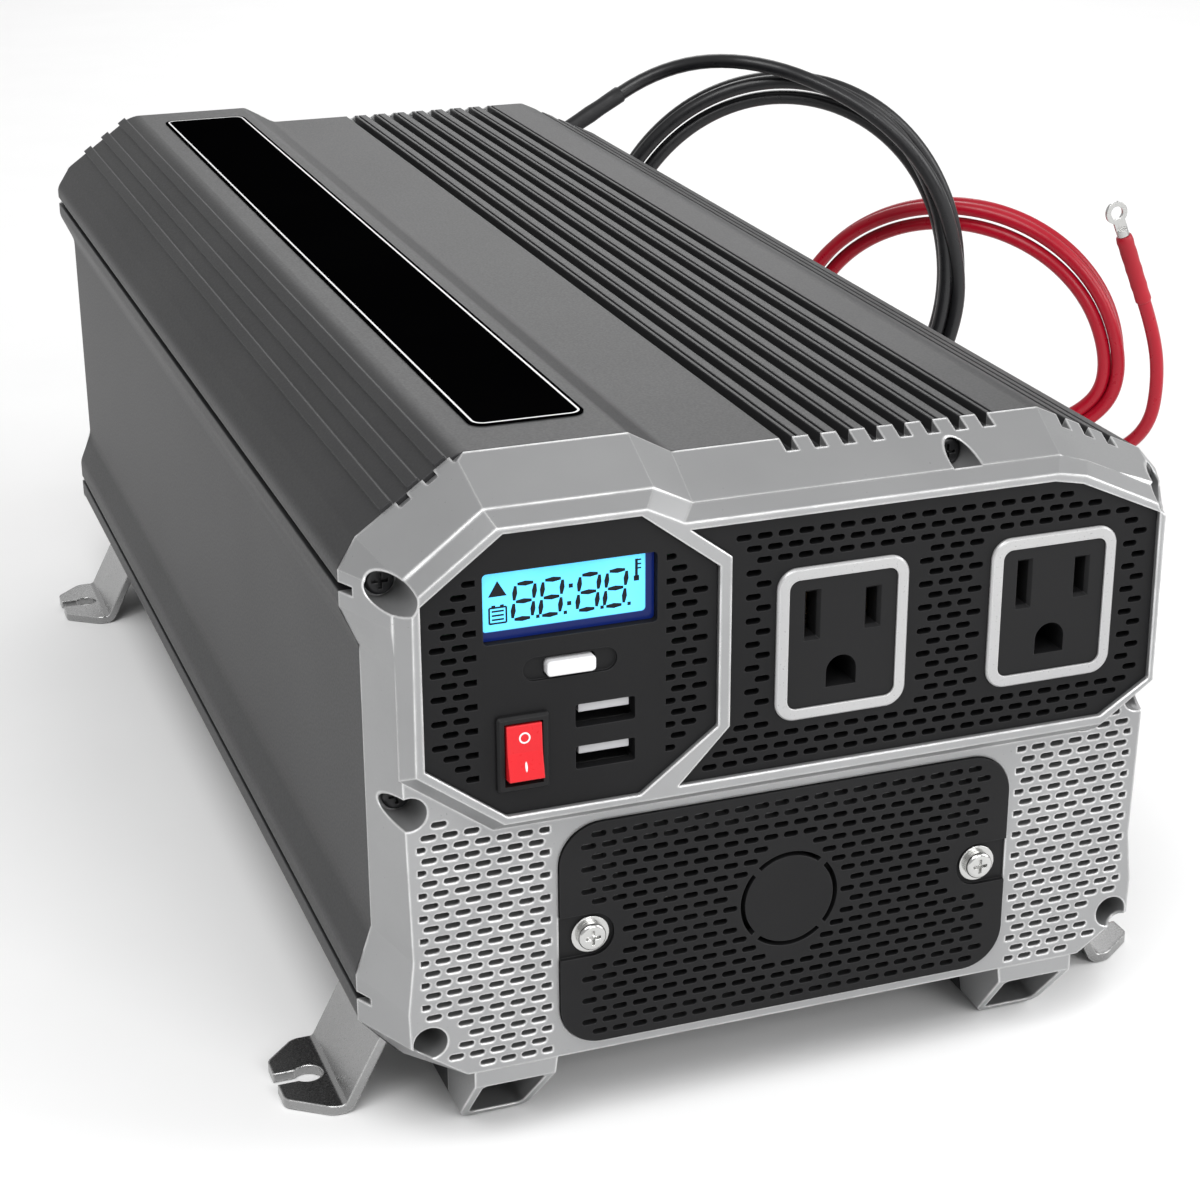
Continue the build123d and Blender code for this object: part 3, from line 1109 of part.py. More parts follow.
def save_rear():
    """Fans and terminal posts."""
    save("fan_frames", [fan_frame(x) for x in FAN_XS])
    for x, name in zip(FAN_XS, ("left", "right")):
        save(f"fan_rotor_{name}", fan_rotor(x))
    save("fan_guards", [fan_guard(x) for x in FAN_XS])
    save("fan_screws", fan_screws())
    for x, name in zip(POST_XS, ("positive", "negative")):
        save(f"dc_insulator_{name}", dc_insulator(x))
    save("dc_studs", [dc_stud(x) for x in POST_XS])
    save("dc_nuts", dc_nuts() + dc_washers())
    save("ground_stud", ground_stud())


def save_electronics():
    """Board, transformers, capacitors and heatsinks."""
    save("main_board", main_board())
    save("board_standoffs", board_standoffs() + board_screws())
    save("transformer_cores", [transformer_core(y) for y in TRANSFORMER_YS])
    save("transformer_windings", [transformer_winding(y) for y in TRANSFORMER_YS])
    save("bulk_capacitors", bulk_capacitors())
    save("heatsinks", [heatsink(side) for side in (-1, 1)])
    save("power_transistors", power_transistors())


os.makedirs("parts", exist_ok=True)
save_shell()
save_front()
save_rear()
save_electronics()
save_leads()
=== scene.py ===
"""Power inverter with its battery leads: finishes, small printed parts, cords and studio."""

import logging
import math
from dataclasses import dataclass, field
from enum import Enum

import bpy
from mathutils import Matrix, Vector

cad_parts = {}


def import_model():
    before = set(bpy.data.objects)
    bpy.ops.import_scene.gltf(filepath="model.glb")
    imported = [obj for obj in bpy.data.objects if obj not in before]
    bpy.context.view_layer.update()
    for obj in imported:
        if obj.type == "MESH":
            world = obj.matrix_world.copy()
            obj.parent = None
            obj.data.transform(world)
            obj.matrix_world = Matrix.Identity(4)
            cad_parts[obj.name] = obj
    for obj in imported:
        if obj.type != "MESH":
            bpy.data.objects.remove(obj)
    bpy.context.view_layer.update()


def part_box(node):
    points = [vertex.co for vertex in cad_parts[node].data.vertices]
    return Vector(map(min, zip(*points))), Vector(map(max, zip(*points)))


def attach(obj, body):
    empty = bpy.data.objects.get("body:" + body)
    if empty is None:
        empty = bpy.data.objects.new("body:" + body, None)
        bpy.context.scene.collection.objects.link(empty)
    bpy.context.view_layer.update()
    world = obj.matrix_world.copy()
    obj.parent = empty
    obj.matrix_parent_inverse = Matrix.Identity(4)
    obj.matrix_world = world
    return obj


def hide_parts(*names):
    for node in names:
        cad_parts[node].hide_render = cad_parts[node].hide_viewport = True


Point = tuple[float, float, float]
Colour = tuple[float, float, float]

log = logging.getLogger("inverter")

MM = 0.001
FACE_Y = -186.0 * MM          # front of the two black panels
THREE_TURNS = 1080.0          # degrees


class Pattern(Enum):
    """How a finish's surface is textured."""

    POWDER = "powder coat"
    MOULDED = "moulded plastic"
    BRUSHED = "drawn metal"
    POLISHED = "polished metal"
    RUBBER = "extruded insulation"


@dataclass(frozen=True)
class Finish:
    """Colour and surface of one material, all lengths in metres."""

    name: str
    colour: Colour
    shade: Colour
    roughness: float
    metallic: float = 0.0
    pattern: Pattern = Pattern.MOULDED
    grain: float = 0.35
    # painted highlight: strength and colour of the lighter band along convex and concave edges
    edge_highlight: float = 0.0
    edge_highlight_colour: Colour = (0.6, 0.6, 0.6)
    edge: float = 0.00035
    coat: float = 0.0
    dust: float = 0.0
    specular: float = 0.5


CHARCOAL = Finish("charcoal powder coat", (0.025, 0.025, 0.026), (0.020, 0.020, 0.021), 0.44, 0.0,
                  Pattern.POWDER, 0.25, 0.30, (0.11, 0.11, 0.115), 0.0005, dust=0.01, specular=0.22)
SILVER = Finish("silver bezel paint", (0.32, 0.322, 0.325), (0.28, 0.282, 0.285), 0.32, 0.55,
                Pattern.POWDER, 0.15, 0.85, (0.92, 0.92, 0.92), 0.0008, dust=0.01)
BRIGHT_SILVER = Finish("bright outlet ring", (0.42, 0.42, 0.42), (0.37, 0.37, 0.375), 0.30, 0.3,
                       Pattern.POWDER, 0.12, 0.5, (0.8, 0.8, 0.8), 0.0004)
BLACK_PANEL = Finish("black front panel", (0.0085, 0.0085, 0.009), (0.006, 0.006, 0.0065), 0.48, 0.0,
                     Pattern.POWDER, 0.40, 0.35, (0.045, 0.045, 0.047), 0.0003, dust=0.01, specular=0.16)
BLACK_COVER = Finish("black cover plate", (0.0095, 0.0095, 0.010), (0.007, 0.007, 0.0075), 0.50, 0.0,
                     Pattern.POWDER, 0.45, 0.35, (0.055, 0.055, 0.057), 0.0003, dust=0.01, specular=0.18)
SOCKET_BLACK = Finish("socket thermoplastic", (0.0105, 0.0105, 0.011), (0.0085, 0.0085, 0.009), 0.42, 0.0,
                      Pattern.MOULDED, 0.15, 0.25, (0.035, 0.035, 0.036), 0.0003, specular=0.16)
MATT_BLACK = Finish("matt black plastic", (0.009, 0.009, 0.0095), (0.007, 0.007, 0.0075), 0.52, 0.0,
                    Pattern.MOULDED, 0.35, 0.30, (0.05, 0.05, 0.05), 0.0003, dust=0.02, specular=0.2)
LABEL_FILM = Finish("label film", (0.0006, 0.0006, 0.0007), (0.0008, 0.0008, 0.0009), 0.50, 0.0,
                    Pattern.MOULDED, 0.0, specular=0.0)
PRINT_WHITE = Finish("white print", (0.82, 0.82, 0.82), (0.76, 0.76, 0.76), 0.45)
PRINT_BLACK = Finish("display segments", (0.003, 0.004, 0.006), (0.005, 0.006, 0.009), 0.40, specular=0.2)
RED_ROCKER = Finish("red switch plastic", (0.66, 0.016, 0.022), (0.56, 0.012, 0.018), 0.30, 0.0,
                    Pattern.MOULDED, 0.10, 0.15, (0.80, 0.12, 0.12), 0.0004, specular=0.25)
PALE_KEY = Finish("pale key plastic", (0.66, 0.66, 0.67), (0.60, 0.60, 0.61), 0.38, 0.0,
                  Pattern.MOULDED, 0.15, edge=0.0003)
PORT_TONGUE = Finish("port tongue", (0.42, 0.42, 0.43), (0.36, 0.36, 0.37), 0.40, 0.0, Pattern.MOULDED, 0.15)
ZINC = Finish("zinc plated sheet", (0.34, 0.34, 0.34), (0.31, 0.31, 0.31), 0.24, 1.0,
              Pattern.POWDER, 0.04, 0.6, (0.85, 0.85, 0.84), 0.0006)
STEEL = Finish("stainless screw", (0.60, 0.60, 0.59), (0.50, 0.50, 0.49), 0.20, 1.0,
               Pattern.POLISHED, 0.10, 0.4, (0.85, 0.85, 0.84), 0.0003)
PORT_STEEL = Finish("port shell", (0.10, 0.10, 0.10), (0.07, 0.07, 0.07), 0.38, 1.0, Pattern.BRUSHED, 0.2)
BLACK_SCREW = Finish("blackened screw", (0.010, 0.010, 0.011), (0.018, 0.018, 0.019), 0.30, 0.4,
                     Pattern.POLISHED, 0.15, 0.5, (0.10, 0.10, 0.10), 0.0003)
BRASS = Finish("brass post", (0.70, 0.50, 0.22), (0.58, 0.40, 0.17), 0.28, 1.0,
               Pattern.BRUSHED, 0.2, 0.3, (0.9, 0.72, 0.4), 0.0003)
CHROME = Finish("plated wire", (0.66, 0.66, 0.67), (0.55, 0.55, 0.56), 0.14, 1.0,
                Pattern.POLISHED, 0.08, 0.3, (0.9, 0.9, 0.9), 0.0003)
RED_GLOSS = Finish("red post insulator", (0.50, 0.014, 0.014), (0.42, 0.010, 0.010), 0.30, 0.0,
                   Pattern.MOULDED, 0.15, 0.2, (0.7, 0.1, 0.1), 0.0004)
BLACK_CORD = Finish("black insulation", (0.006, 0.006, 0.007), (0.009, 0.009, 0.010), 0.30, 0.0,
                    Pattern.RUBBER, 0.25, dust=0.01, specular=0.40)
RED_CORD = Finish("red insulation", (0.36, 0.003, 0.016), (0.29, 0.002, 0.012), 0.30, 0.0,
                  Pattern.RUBBER, 0.25, dust=0.01, specular=0.35)
BLACK_SHRINK = Finish("black heat shrink", (0.008, 0.008, 0.009), (0.013, 0.013, 0.014), 0.48, 0.0,
                      Pattern.RUBBER, 0.50, specular=0.3)
RED_SHRINK = Finish("red heat shrink", (0.38, 0.006, 0.018), (0.30, 0.004, 0.013), 0.44, 0.0,
                    Pattern.RUBBER, 0.50, specular=0.35)
TINNED = Finish("tinned copper lug", (0.62, 0.62, 0.61), (0.48, 0.48, 0.47), 0.24, 1.0,
                Pattern.POLISHED, 0.25, 0.3, (0.85, 0.85, 0.84), 0.0004)
BOARD_GREEN = Finish("circuit board", (0.010, 0.10, 0.035), (0.008, 0.075, 0.028), 0.38, 0.0,
                     Pattern.MOULDED, 0.35, coat=0.2)
ALUMINIUM = Finish("bare aluminium", (0.56, 0.57, 0.58), (0.48, 0.49, 0.50), 0.34, 1.0,
                   Pattern.BRUSHED, 0.35, 0.3, (0.8, 0.8, 0.8), 0.0004)
FERRITE = Finish("ferrite", (0.030, 0.030, 0.031), (0.022, 0.022, 0.023), 0.60, 0.0, Pattern.POWDER, 0.7)
TAPE = Finish("winding tape", (0.50, 0.33, 0.03), (0.42, 0.27, 0.02), 0.35, 0.0, Pattern.RUBBER, 0.4)
CAPACITOR = Finish("capacitor sleeve", (0.012, 0.018, 0.050), (0.010, 0.014, 0.040), 0.26, 0.0,
                   Pattern.MOULDED, 0.12, coat=0.3)
PALE_FLOOR = Finish("studio floor", (0.88, 0.88, 0.88), (0.87, 0.87, 0.87), 0.70, 0.0, Pattern.POWDER, 0.05,
                    specular=0.1)


class NodeSheet:
    """Short way to add and join nodes in one node tree."""

    def __init__(self, tree: bpy.types.NodeTree) -> None:
        """Keep the tree that the nodes go into."""
        self.tree = tree

    def add(self, kind: str, inputs: dict[str, object] | None = None, **settings: object) -> bpy.types.Node:
        """Add a node, set its properties and fill or join its inputs.

        Args:
            kind: Blender's type name of the node.
            inputs: input name or index to a value or an output socket.
            **settings: properties of the node itself.

        Returns:
            The new node.
        """
        node = self.tree.nodes.new(kind)
        for key, value in settings.items():
            setattr(node, key, value)
        for key, value in (inputs or {}).items():
            socket = node.inputs[key]
            if isinstance(value, bpy.types.NodeSocket):
                self.tree.links.new(value, socket)
            else:
                socket.default_value = value
        return node

    def maths(self, operation: str, first: object, second: object = 0.0) -> bpy.types.NodeSocket:
        """Result of one arithmetic step on two values or sockets."""
        return self.add("ShaderNodeMath", {0: first, 1: second}, operation=operation).outputs[0]

    def blend(self, factor: object, low: object, high: object) -> bpy.types.NodeSocket:
        """Colour between two colours by a factor."""
        node = self.add("ShaderNodeMix", data_type="RGBA")
        colour_inputs = [socket for socket in node.inputs if socket.type == "RGBA"]
        for socket, value in ((node.inputs[0], factor), (colour_inputs[0], low), (colour_inputs[1], high)):
            if isinstance(value, bpy.types.NodeSocket):
                self.tree.links.new(value, socket)
            elif socket.type == "RGBA":
                socket.default_value = (*value, 1.0)
            else:
                socket.default_value = value
        return next(socket for socket in node.outputs if socket.type == "RGBA")

    def spread(self, value: object, low: float, high: float, to_low: float = 0.0,
               to_high: float = 1.0) -> bpy.types.NodeSocket:
        """Value moved from one range to another, kept inside it."""
        inputs = {"Value": value, "From Min": low, "From Max": high, "To Min": to_low, "To Max": to_high}
        return self.add("ShaderNodeMapRange", inputs).outputs["Result"]


class SurfaceEffects:
    """Node groups that several finishes share: grain, painted edge highlight and dust."""

    def __init__(self) -> None:
        """Build the three groups once."""
        self.grain = self._grain()
        self.edges = self._edges()
        self.dust = self._dust()

    def _start(self, name: str, inputs: dict[str, tuple[str, object]],
               outputs: dict[str, str]) -> tuple[bpy.types.NodeTree, NodeSheet, bpy.types.Node, bpy.types.Node]:
        """Make an empty group with named sockets.

        Args:
            name: the group's name.
            inputs: socket name to its type and default value.
            outputs: socket name to its type.

        Returns:
            The tree, its node sheet, and its input and output nodes.
        """
        tree = bpy.data.node_groups.new(name, "ShaderNodeTree")
        for label, (kind, value) in inputs.items():
            socket = tree.interface.new_socket(label, in_out="INPUT", socket_type=kind)
            if value is not None:
                socket.default_value = value
        for label, kind in outputs.items():
            tree.interface.new_socket(label, in_out="OUTPUT", socket_type=kind)
        sheet = NodeSheet(tree)
        return tree, sheet, sheet.add("NodeGroupInput"), sheet.add("NodeGroupOutput")

    def _grain(self) -> bpy.types.NodeTree:
        """Fine relief and slow tone changes, stretched by a vector scale."""
        tree, sheet, source, sink = self._start(
            "surface grain",
            {"Vector": ("NodeSocketVector", None), "Stretch": ("NodeSocketVector", (1.0, 1.0, 1.0)),
             "Scale": ("NodeSocketFloat", 1500.0)},
            {"Relief": "NodeSocketFloat", "Tone": "NodeSocketFloat"})
        stretched = sheet.add("ShaderNodeVectorMath", {0: source.outputs["Vector"], 1: source.outputs["Stretch"]},
                              operation="MULTIPLY").outputs[0]
        fine = sheet.add("ShaderNodeTexNoise", {"Vector": stretched, "Scale": source.outputs["Scale"],
                                                "Detail": 3.0, "Roughness": 0.6})
        slow = sheet.add("ShaderNodeTexNoise", {"Vector": source.outputs["Vector"], "Scale": 22.0, "Detail": 4.0})
        tree.links.new(fine.outputs[0], sink.inputs["Relief"])
        tree.links.new(sheet.spread(slow.outputs[0], 0.35, 0.65), sink.inputs["Tone"])
        return tree

    def _edges(self) -> bpy.types.NodeTree:
        """Mask of the painted highlight that rises along convex and concave edges, and a softened normal."""
        tree, sheet, source, sink = self._start(
            "edge highlight",
            {"Vector": ("NodeSocketVector", None), "Width": ("NodeSocketFloat", 0.0005),
             "Amount": ("NodeSocketFloat", 0.5)},
            {"Mask": "NodeSocketFloat", "Normal": "NodeSocketVector"})
        bevel = sheet.add("ShaderNodeBevel", {"Radius": source.outputs["Width"]}, samples=6)
        flat = sheet.add("ShaderNodeNewGeometry").outputs["True Normal"]
        cosine = sheet.add("ShaderNodeVectorMath", {0: bevel.outputs[0], 1: flat}, operation="DOT_PRODUCT")
        mask = sheet.spread(cosine.outputs["Value"], 0.985, 0.90)
        patchy = sheet.add("ShaderNodeTexNoise", {"Vector": source.outputs["Vector"], "Scale": 160.0, "Detail": 3.0})
        broken = sheet.maths("MULTIPLY", mask, sheet.spread(patchy.outputs[0], 0.30, 0.60, 0.55, 1.0))
        tree.links.new(sheet.maths("MULTIPLY", broken, source.outputs["Amount"]), sink.inputs["Mask"])
        tree.links.new(bevel.outputs[0], sink.inputs["Normal"])
        return tree

    def _dust(self) -> bpy.types.NodeTree:
        """Mask of light dust on faces that look upwards."""
        tree, sheet, source, sink = self._start(
            "settled dust",
            {"Vector": ("NodeSocketVector", None), "Amount": ("NodeSocketFloat", 0.1)},
            {"Mask": "NodeSocketFloat"})
        normal = sheet.add("ShaderNodeNewGeometry").outputs["Normal"]
        up = sheet.add("ShaderNodeSeparateXYZ", {0: normal}).outputs[2]
        cloud = sheet.add("ShaderNodeTexNoise", {"Vector": source.outputs["Vector"], "Scale": 60.0, "Detail": 6.0})
        facing = sheet.maths("MULTIPLY", sheet.spread(up, 0.2, 0.9), sheet.spread(cloud.outputs[0], 0.4, 0.7))
        tree.links.new(sheet.maths("MULTIPLY", facing, source.outputs["Amount"]), sink.inputs["Mask"])
        return tree


class PaintShop:
    """Makes each finish's material once and puts it on pieces and CAD nodes."""

    STRETCH = {Pattern.POWDER: (1.0, 1.0, 1.0), Pattern.MOULDED: (1.0, 1.0, 1.0),
               Pattern.BRUSHED: (1.0, 0.04, 1.0), Pattern.POLISHED: (1.0, 1.0, 1.0),
               Pattern.RUBBER: (1.0, 1.0, 1.0)}
    SCALE = {Pattern.POWDER: 1900.0, Pattern.MOULDED: 1300.0, Pattern.BRUSHED: 2600.0,
             Pattern.POLISHED: 500.0, Pattern.RUBBER: 420.0}

    def __init__(self) -> None:
        """Start with no materials and the shared effects."""
        self.effects = SurfaceEffects()
        self.made: dict[str, bpy.types.Material] = {}

    def material(self, finish: Finish) -> bpy.types.Material:
        """Material of a finish.

        Args:
            finish: the colours and surface wanted.

        Returns:
            The material, made on first use.
        """
        if finish.name in self.made:
            return self.made[finish.name]
        material = bpy.data.materials.new(finish.name)
        material.use_nodes = True
        material.node_tree.nodes.clear()
        sheet = NodeSheet(material.node_tree)
        place = sheet.add("ShaderNodeTexCoord").outputs["Object"]
        grain = sheet.add("ShaderNodeGroup", node_tree=self.effects.grain)
        edges = sheet.add("ShaderNodeGroup", node_tree=self.effects.edges)
        dust = sheet.add("ShaderNodeGroup", node_tree=self.effects.dust)
        for group in (grain, edges, dust):
            sheet.tree.links.new(place, group.inputs["Vector"])
        grain.inputs["Stretch"].default_value = self.STRETCH[finish.pattern]
        grain.inputs["Scale"].default_value = self.SCALE[finish.pattern]
        edges.inputs["Width"].default_value = finish.edge
        edges.inputs["Amount"].default_value = finish.edge_highlight
        dust.inputs["Amount"].default_value = finish.dust
        colour = sheet.blend(grain.outputs["Tone"], finish.colour, finish.shade)
        # painted highlight: colour lightened along convex and concave edges, broken up by noise
        colour = sheet.blend(edges.outputs["Mask"], colour, finish.edge_highlight_colour)
        colour = sheet.blend(dust.outputs["Mask"], colour, (0.36, 0.35, 0.33))
        base = sheet.spread(grain.outputs["Relief"], 0.25, 0.75, finish.roughness - 0.05, finish.roughness + 0.07)
        rough = sheet.maths("ADD", base, dust.outputs["Mask"])
        bump = sheet.add("ShaderNodeBump", {"Strength": finish.grain * 0.35, "Distance": 0.00006,
                                            "Height": grain.outputs["Relief"], "Normal": edges.outputs["Normal"]})
        shader = sheet.add("ShaderNodeBsdfPrincipled", {
            "Base Color": colour, "Roughness": rough, "Metallic": finish.metallic,
            "Normal": bump.outputs[0], "Coat Weight": finish.coat, "Coat Roughness": 0.12,
            "Specular IOR Level": finish.specular})
        sheet.add("ShaderNodeOutputMaterial", {"Surface": shader.outputs[0]})
        self.made[finish.name] = material
        return material

    def display(self, across: tuple[float, float], upright: tuple[float, float]) -> bpy.types.Material:
        """Lit display: a bright field with round corners inside a deep blue border.

        Args:
            across: left and right end of the bright field.
            upright: lower and upper end of the bright field.

        Returns:
            The material of the window.
        """
        material = bpy.data.materials.new("lit display")
        material.use_nodes = True
        material.node_tree.nodes.clear()
        sheet = NodeSheet(material.node_tree)
        place = sheet.add("ShaderNodeTexCoord").outputs["Object"]
        split = sheet.add("ShaderNodeSeparateXYZ", {0: place})
        corner, blur = 0.7 * MM, 0.1 * MM
        squares = []
        for axis, (start, end) in ((0, across), (2, upright)):
            offset = sheet.maths("ABSOLUTE", sheet.maths("SUBTRACT", split.outputs[axis], (start + end) / 2))
            beyond = sheet.maths("MAXIMUM", sheet.maths("SUBTRACT", offset, (end - start) / 2 - corner), 0.0)
            squares.append(sheet.maths("MULTIPLY", beyond, beyond))
        distance = sheet.maths("SQRT", sheet.maths("ADD", squares[0], squares[1]))
        inside = sheet.spread(distance, corner + blur, corner - blur)
        slow = sheet.add("ShaderNodeTexNoise", {"Vector": place, "Scale": 45.0, "Detail": 2.0})
        lit = sheet.blend(sheet.spread(slow.outputs[0], 0.35, 0.65), (0.085, 0.50, 0.88), (0.115, 0.56, 0.93))
        field_colour = sheet.blend(inside, (0.002, 0.008, 0.070), lit)
        shader = sheet.add("ShaderNodeBsdfPrincipled", {
            "Base Color": field_colour, "Roughness": 0.22, "Emission Color": field_colour,
            "Emission Strength": 0.60, "Specular IOR Level": 0.2})
        sheet.add("ShaderNodeOutputMaterial", {"Surface": shader.outputs[0]})
        return material

    def coat(self, finish: Finish, *targets: object) -> None:
        """Put a finish on pieces or on CAD nodes by name."""
        for target in targets:
            self.apply(self.material(finish), target)

    def apply(self, material: bpy.types.Material, target: object) -> None:
        """Put a ready material on one piece or CAD node."""
        thing = bpy.data.objects[target] if isinstance(target, str) else target
        if thing.material_slots:
            for slot in thing.material_slots:
                slot.material = material
        else:
            thing.data.materials.append(material)


# ------------------------------------------------------------------ modelling helpers
def deselect() -> None:
    """Leave edit mode and deselect every object."""
    if bpy.context.object and bpy.context.object.mode != "OBJECT":
        bpy.ops.object.mode_set(mode="OBJECT")
    bpy.ops.object.select_all(action="DESELECT")


def activate(piece: bpy.types.Object) -> None:
    """Make one piece the only selected and active object."""
    deselect()
    piece.select_set(True)
    bpy.context.view_layer.objects.active = piece


def settle(piece: bpy.types.Object, name: str) -> bpy.types.Object:
    """Name a piece, move its place into its mesh and return it."""
    activate(piece)
    piece.name = name
    piece.data.name = name
    bpy.ops.object.transform_apply(location=True, rotation=True, scale=True)
    return piece


def joined(parts: list[bpy.types.Object], name: str) -> bpy.types.Object:
    """Join pieces into one object under one name."""
    deselect()
    for part in parts:
        part.select_set(True)
    bpy.context.view_layer.objects.active = parts[0]
    if len(parts) > 1:
        bpy.ops.object.join()
    return settle(bpy.context.object, name)


def extruded_outline(corners: int, depth: float, hole: float = 0.0) -> bpy.types.Object:
    """Thin plate one unit across that faces the front: an outline extruded backwards.

    Args:
        corners: number of corners of the outline.
        depth: thickness, towards the back.
        hole: width of the band that is left round a hole, or 0 for a full plate.

    Returns:
        The plate, with the middle of its front at the origin.
    """
    deselect()
    bpy.ops.mesh.primitive_circle_add(vertices=corners, radius=0.5, fill_type="NGON",
                                      rotation=(math.radians(90), 0, 0))
    plate = bpy.context.object
    bpy.ops.object.transform_apply(location=False, rotation=True, scale=False)
    bpy.ops.object.mode_set(mode="EDIT")
    bpy.ops.mesh.select_all(action="SELECT")
    if hole:
        bpy.ops.mesh.inset(thickness=hole, depth=0.0)
        bpy.ops.mesh.delete(type="FACE")
        bpy.ops.mesh.select_all(action="SELECT")
    bpy.ops.mesh.extrude_region_move(TRANSFORM_OT_translate={"value": (0, depth, 0)})
    bpy.ops.mesh.select_all(action="SELECT")
    bpy.ops.mesh.normals_make_consistent(inside=False)
    bpy.ops.object.mode_set(mode="OBJECT")
    return plate


def copied(piece: bpy.types.Object, place: Point, size: tuple[float, float] = (1.0, 1.0),
           turn: Point = (0.0, 0.0, 0.0)) -> bpy.types.Object:
    """Copy of a piece with its own mesh, moved, stretched and turned.

    Args:
        piece: the piece to copy.
        place: where the copy's origin goes.
        size: stretch along X and Z.
        turn: rotation about X, Y and Z, in radians.

    Returns:
        The copy, with its place in its mesh.
    """
    twin = piece.copy()
    twin.data = piece.data.copy()
    bpy.context.scene.collection.objects.link(twin)
    twin.location = place
    twin.rotation_euler = turn
    twin.scale = (size[0], 1.0, size[1])
    activate(twin)
    bpy.ops.object.transform_apply(location=True, rotation=True, scale=True)
    return twin


def drawn_tube(name: str, start: Vector, along: Vector, profile: list[tuple[float, float]],
               sides: int = 40) -> bpy.types.Object:
    """Closed round piece: a disc drawn out along an axis, one ring after another.

    Args:
        name: name of the piece.
        start: where the axis starts.
        along: direction of the axis.
        profile: distance along the axis and radius of each ring.
        sides: number of sides of each ring.

    Returns:
        The piece, with outward faces.
    """
    deselect()
    heading = along.to_track_quat("Z", "Y").to_euler()
    distance, radius = profile[0]
    bpy.ops.mesh.primitive_circle_add(vertices=sides, radius=radius, fill_type="NGON",
                                      location=start + along * distance, rotation=heading)
    piece = bpy.context.object
    settle(piece, name)
    bpy.ops.object.mode_set(mode="EDIT")
    bpy.ops.mesh.select_all(action="SELECT")
    for next_distance, next_radius in profile[1:]:
        step = along * (next_distance - distance)
        bpy.ops.mesh.extrude_region_move(TRANSFORM_OT_translate={"value": tuple(step)})
        grow = next_radius / radius
        bpy.ops.transform.resize(value=(grow, grow, grow), center_override=tuple(start + along * next_distance))
        distance, radius = next_distance, next_radius
    bpy.ops.mesh.select_all(action="SELECT")
    bpy.ops.mesh.normals_make_consistent(inside=False)
    bpy.ops.object.mode_set(mode="OBJECT")
    bpy.ops.object.shade_smooth_by_angle(angle=math.radians(50))
    return piece


# ------------------------------------------------------------------ sub-assemblies
@dataclass
class Casework:
    """Extrusions, bezels, brackets and the long label on the roof."""

    shop: PaintShop
    border: float = 0.45 * MM
    border_inset: float = 0.7 * MM

    def build(self) -> list[bpy.types.Object]:
        """Model the printed border of the label.

        Returns:
            The new pieces.
        """
        low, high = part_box("label_plate")
        centre = (Vector(low) + Vector(high)) / 2
        deselect()
        bpy.ops.mesh.primitive_plane_add(size=1.0, location=(centre.x, centre.y, high[2] + 0.02 * MM))
        frame_piece = bpy.context.object
        frame_piece.scale = (high[0] - low[0] - 2 * self.border_inset, high[1] - low[1] - 2 * self.border_inset, 1)
        bpy.ops.object.transform_apply(location=True, rotation=False, scale=True)
        bpy.ops.object.mode_set(mode="EDIT")
        bpy.ops.mesh.select_all(action="SELECT")
        bpy.ops.mesh.bevel(offset=2.4 * MM, segments=6, affect="VERTICES")
        bpy.ops.mesh.select_all(action="SELECT")
        bpy.ops.mesh.inset(thickness=self.border, depth=0.0)
        bpy.ops.mesh.delete(type="FACE")
        bpy.ops.object.mode_set(mode="OBJECT")
        modifier = frame_piece.modifiers.new("ink", "SOLIDIFY")
        modifier.thickness = 0.05 * MM
        modifier.offset = 0.0
        bpy.ops.object.modifier_apply(modifier=modifier.name)
        settle(frame_piece, "label_border")
        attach(frame_piece, "case")
        return [frame_piece]

    def dress(self, pieces: list[bpy.types.Object]) -> None:
        """Put the finishes on the case and on the new pieces."""
        self.shop.coat(CHARCOAL, "top_shell", "base_tray")
        self.shop.coat(SILVER, "front_bezel", "rear_bezel")
        self.shop.coat(ZINC, "bracket_front_left", "bracket_front_right", "bracket_rear_left", "bracket_rear_right")
        self.shop.coat(BLACK_SCREW, "front_bezel_screws", "rear_bezel_screws")
        self.shop.coat(STEEL, "bracket_screws")
        self.shop.coat(LABEL_FILM, "label_plate")
        self.shop.coat(PRINT_WHITE, *pieces)


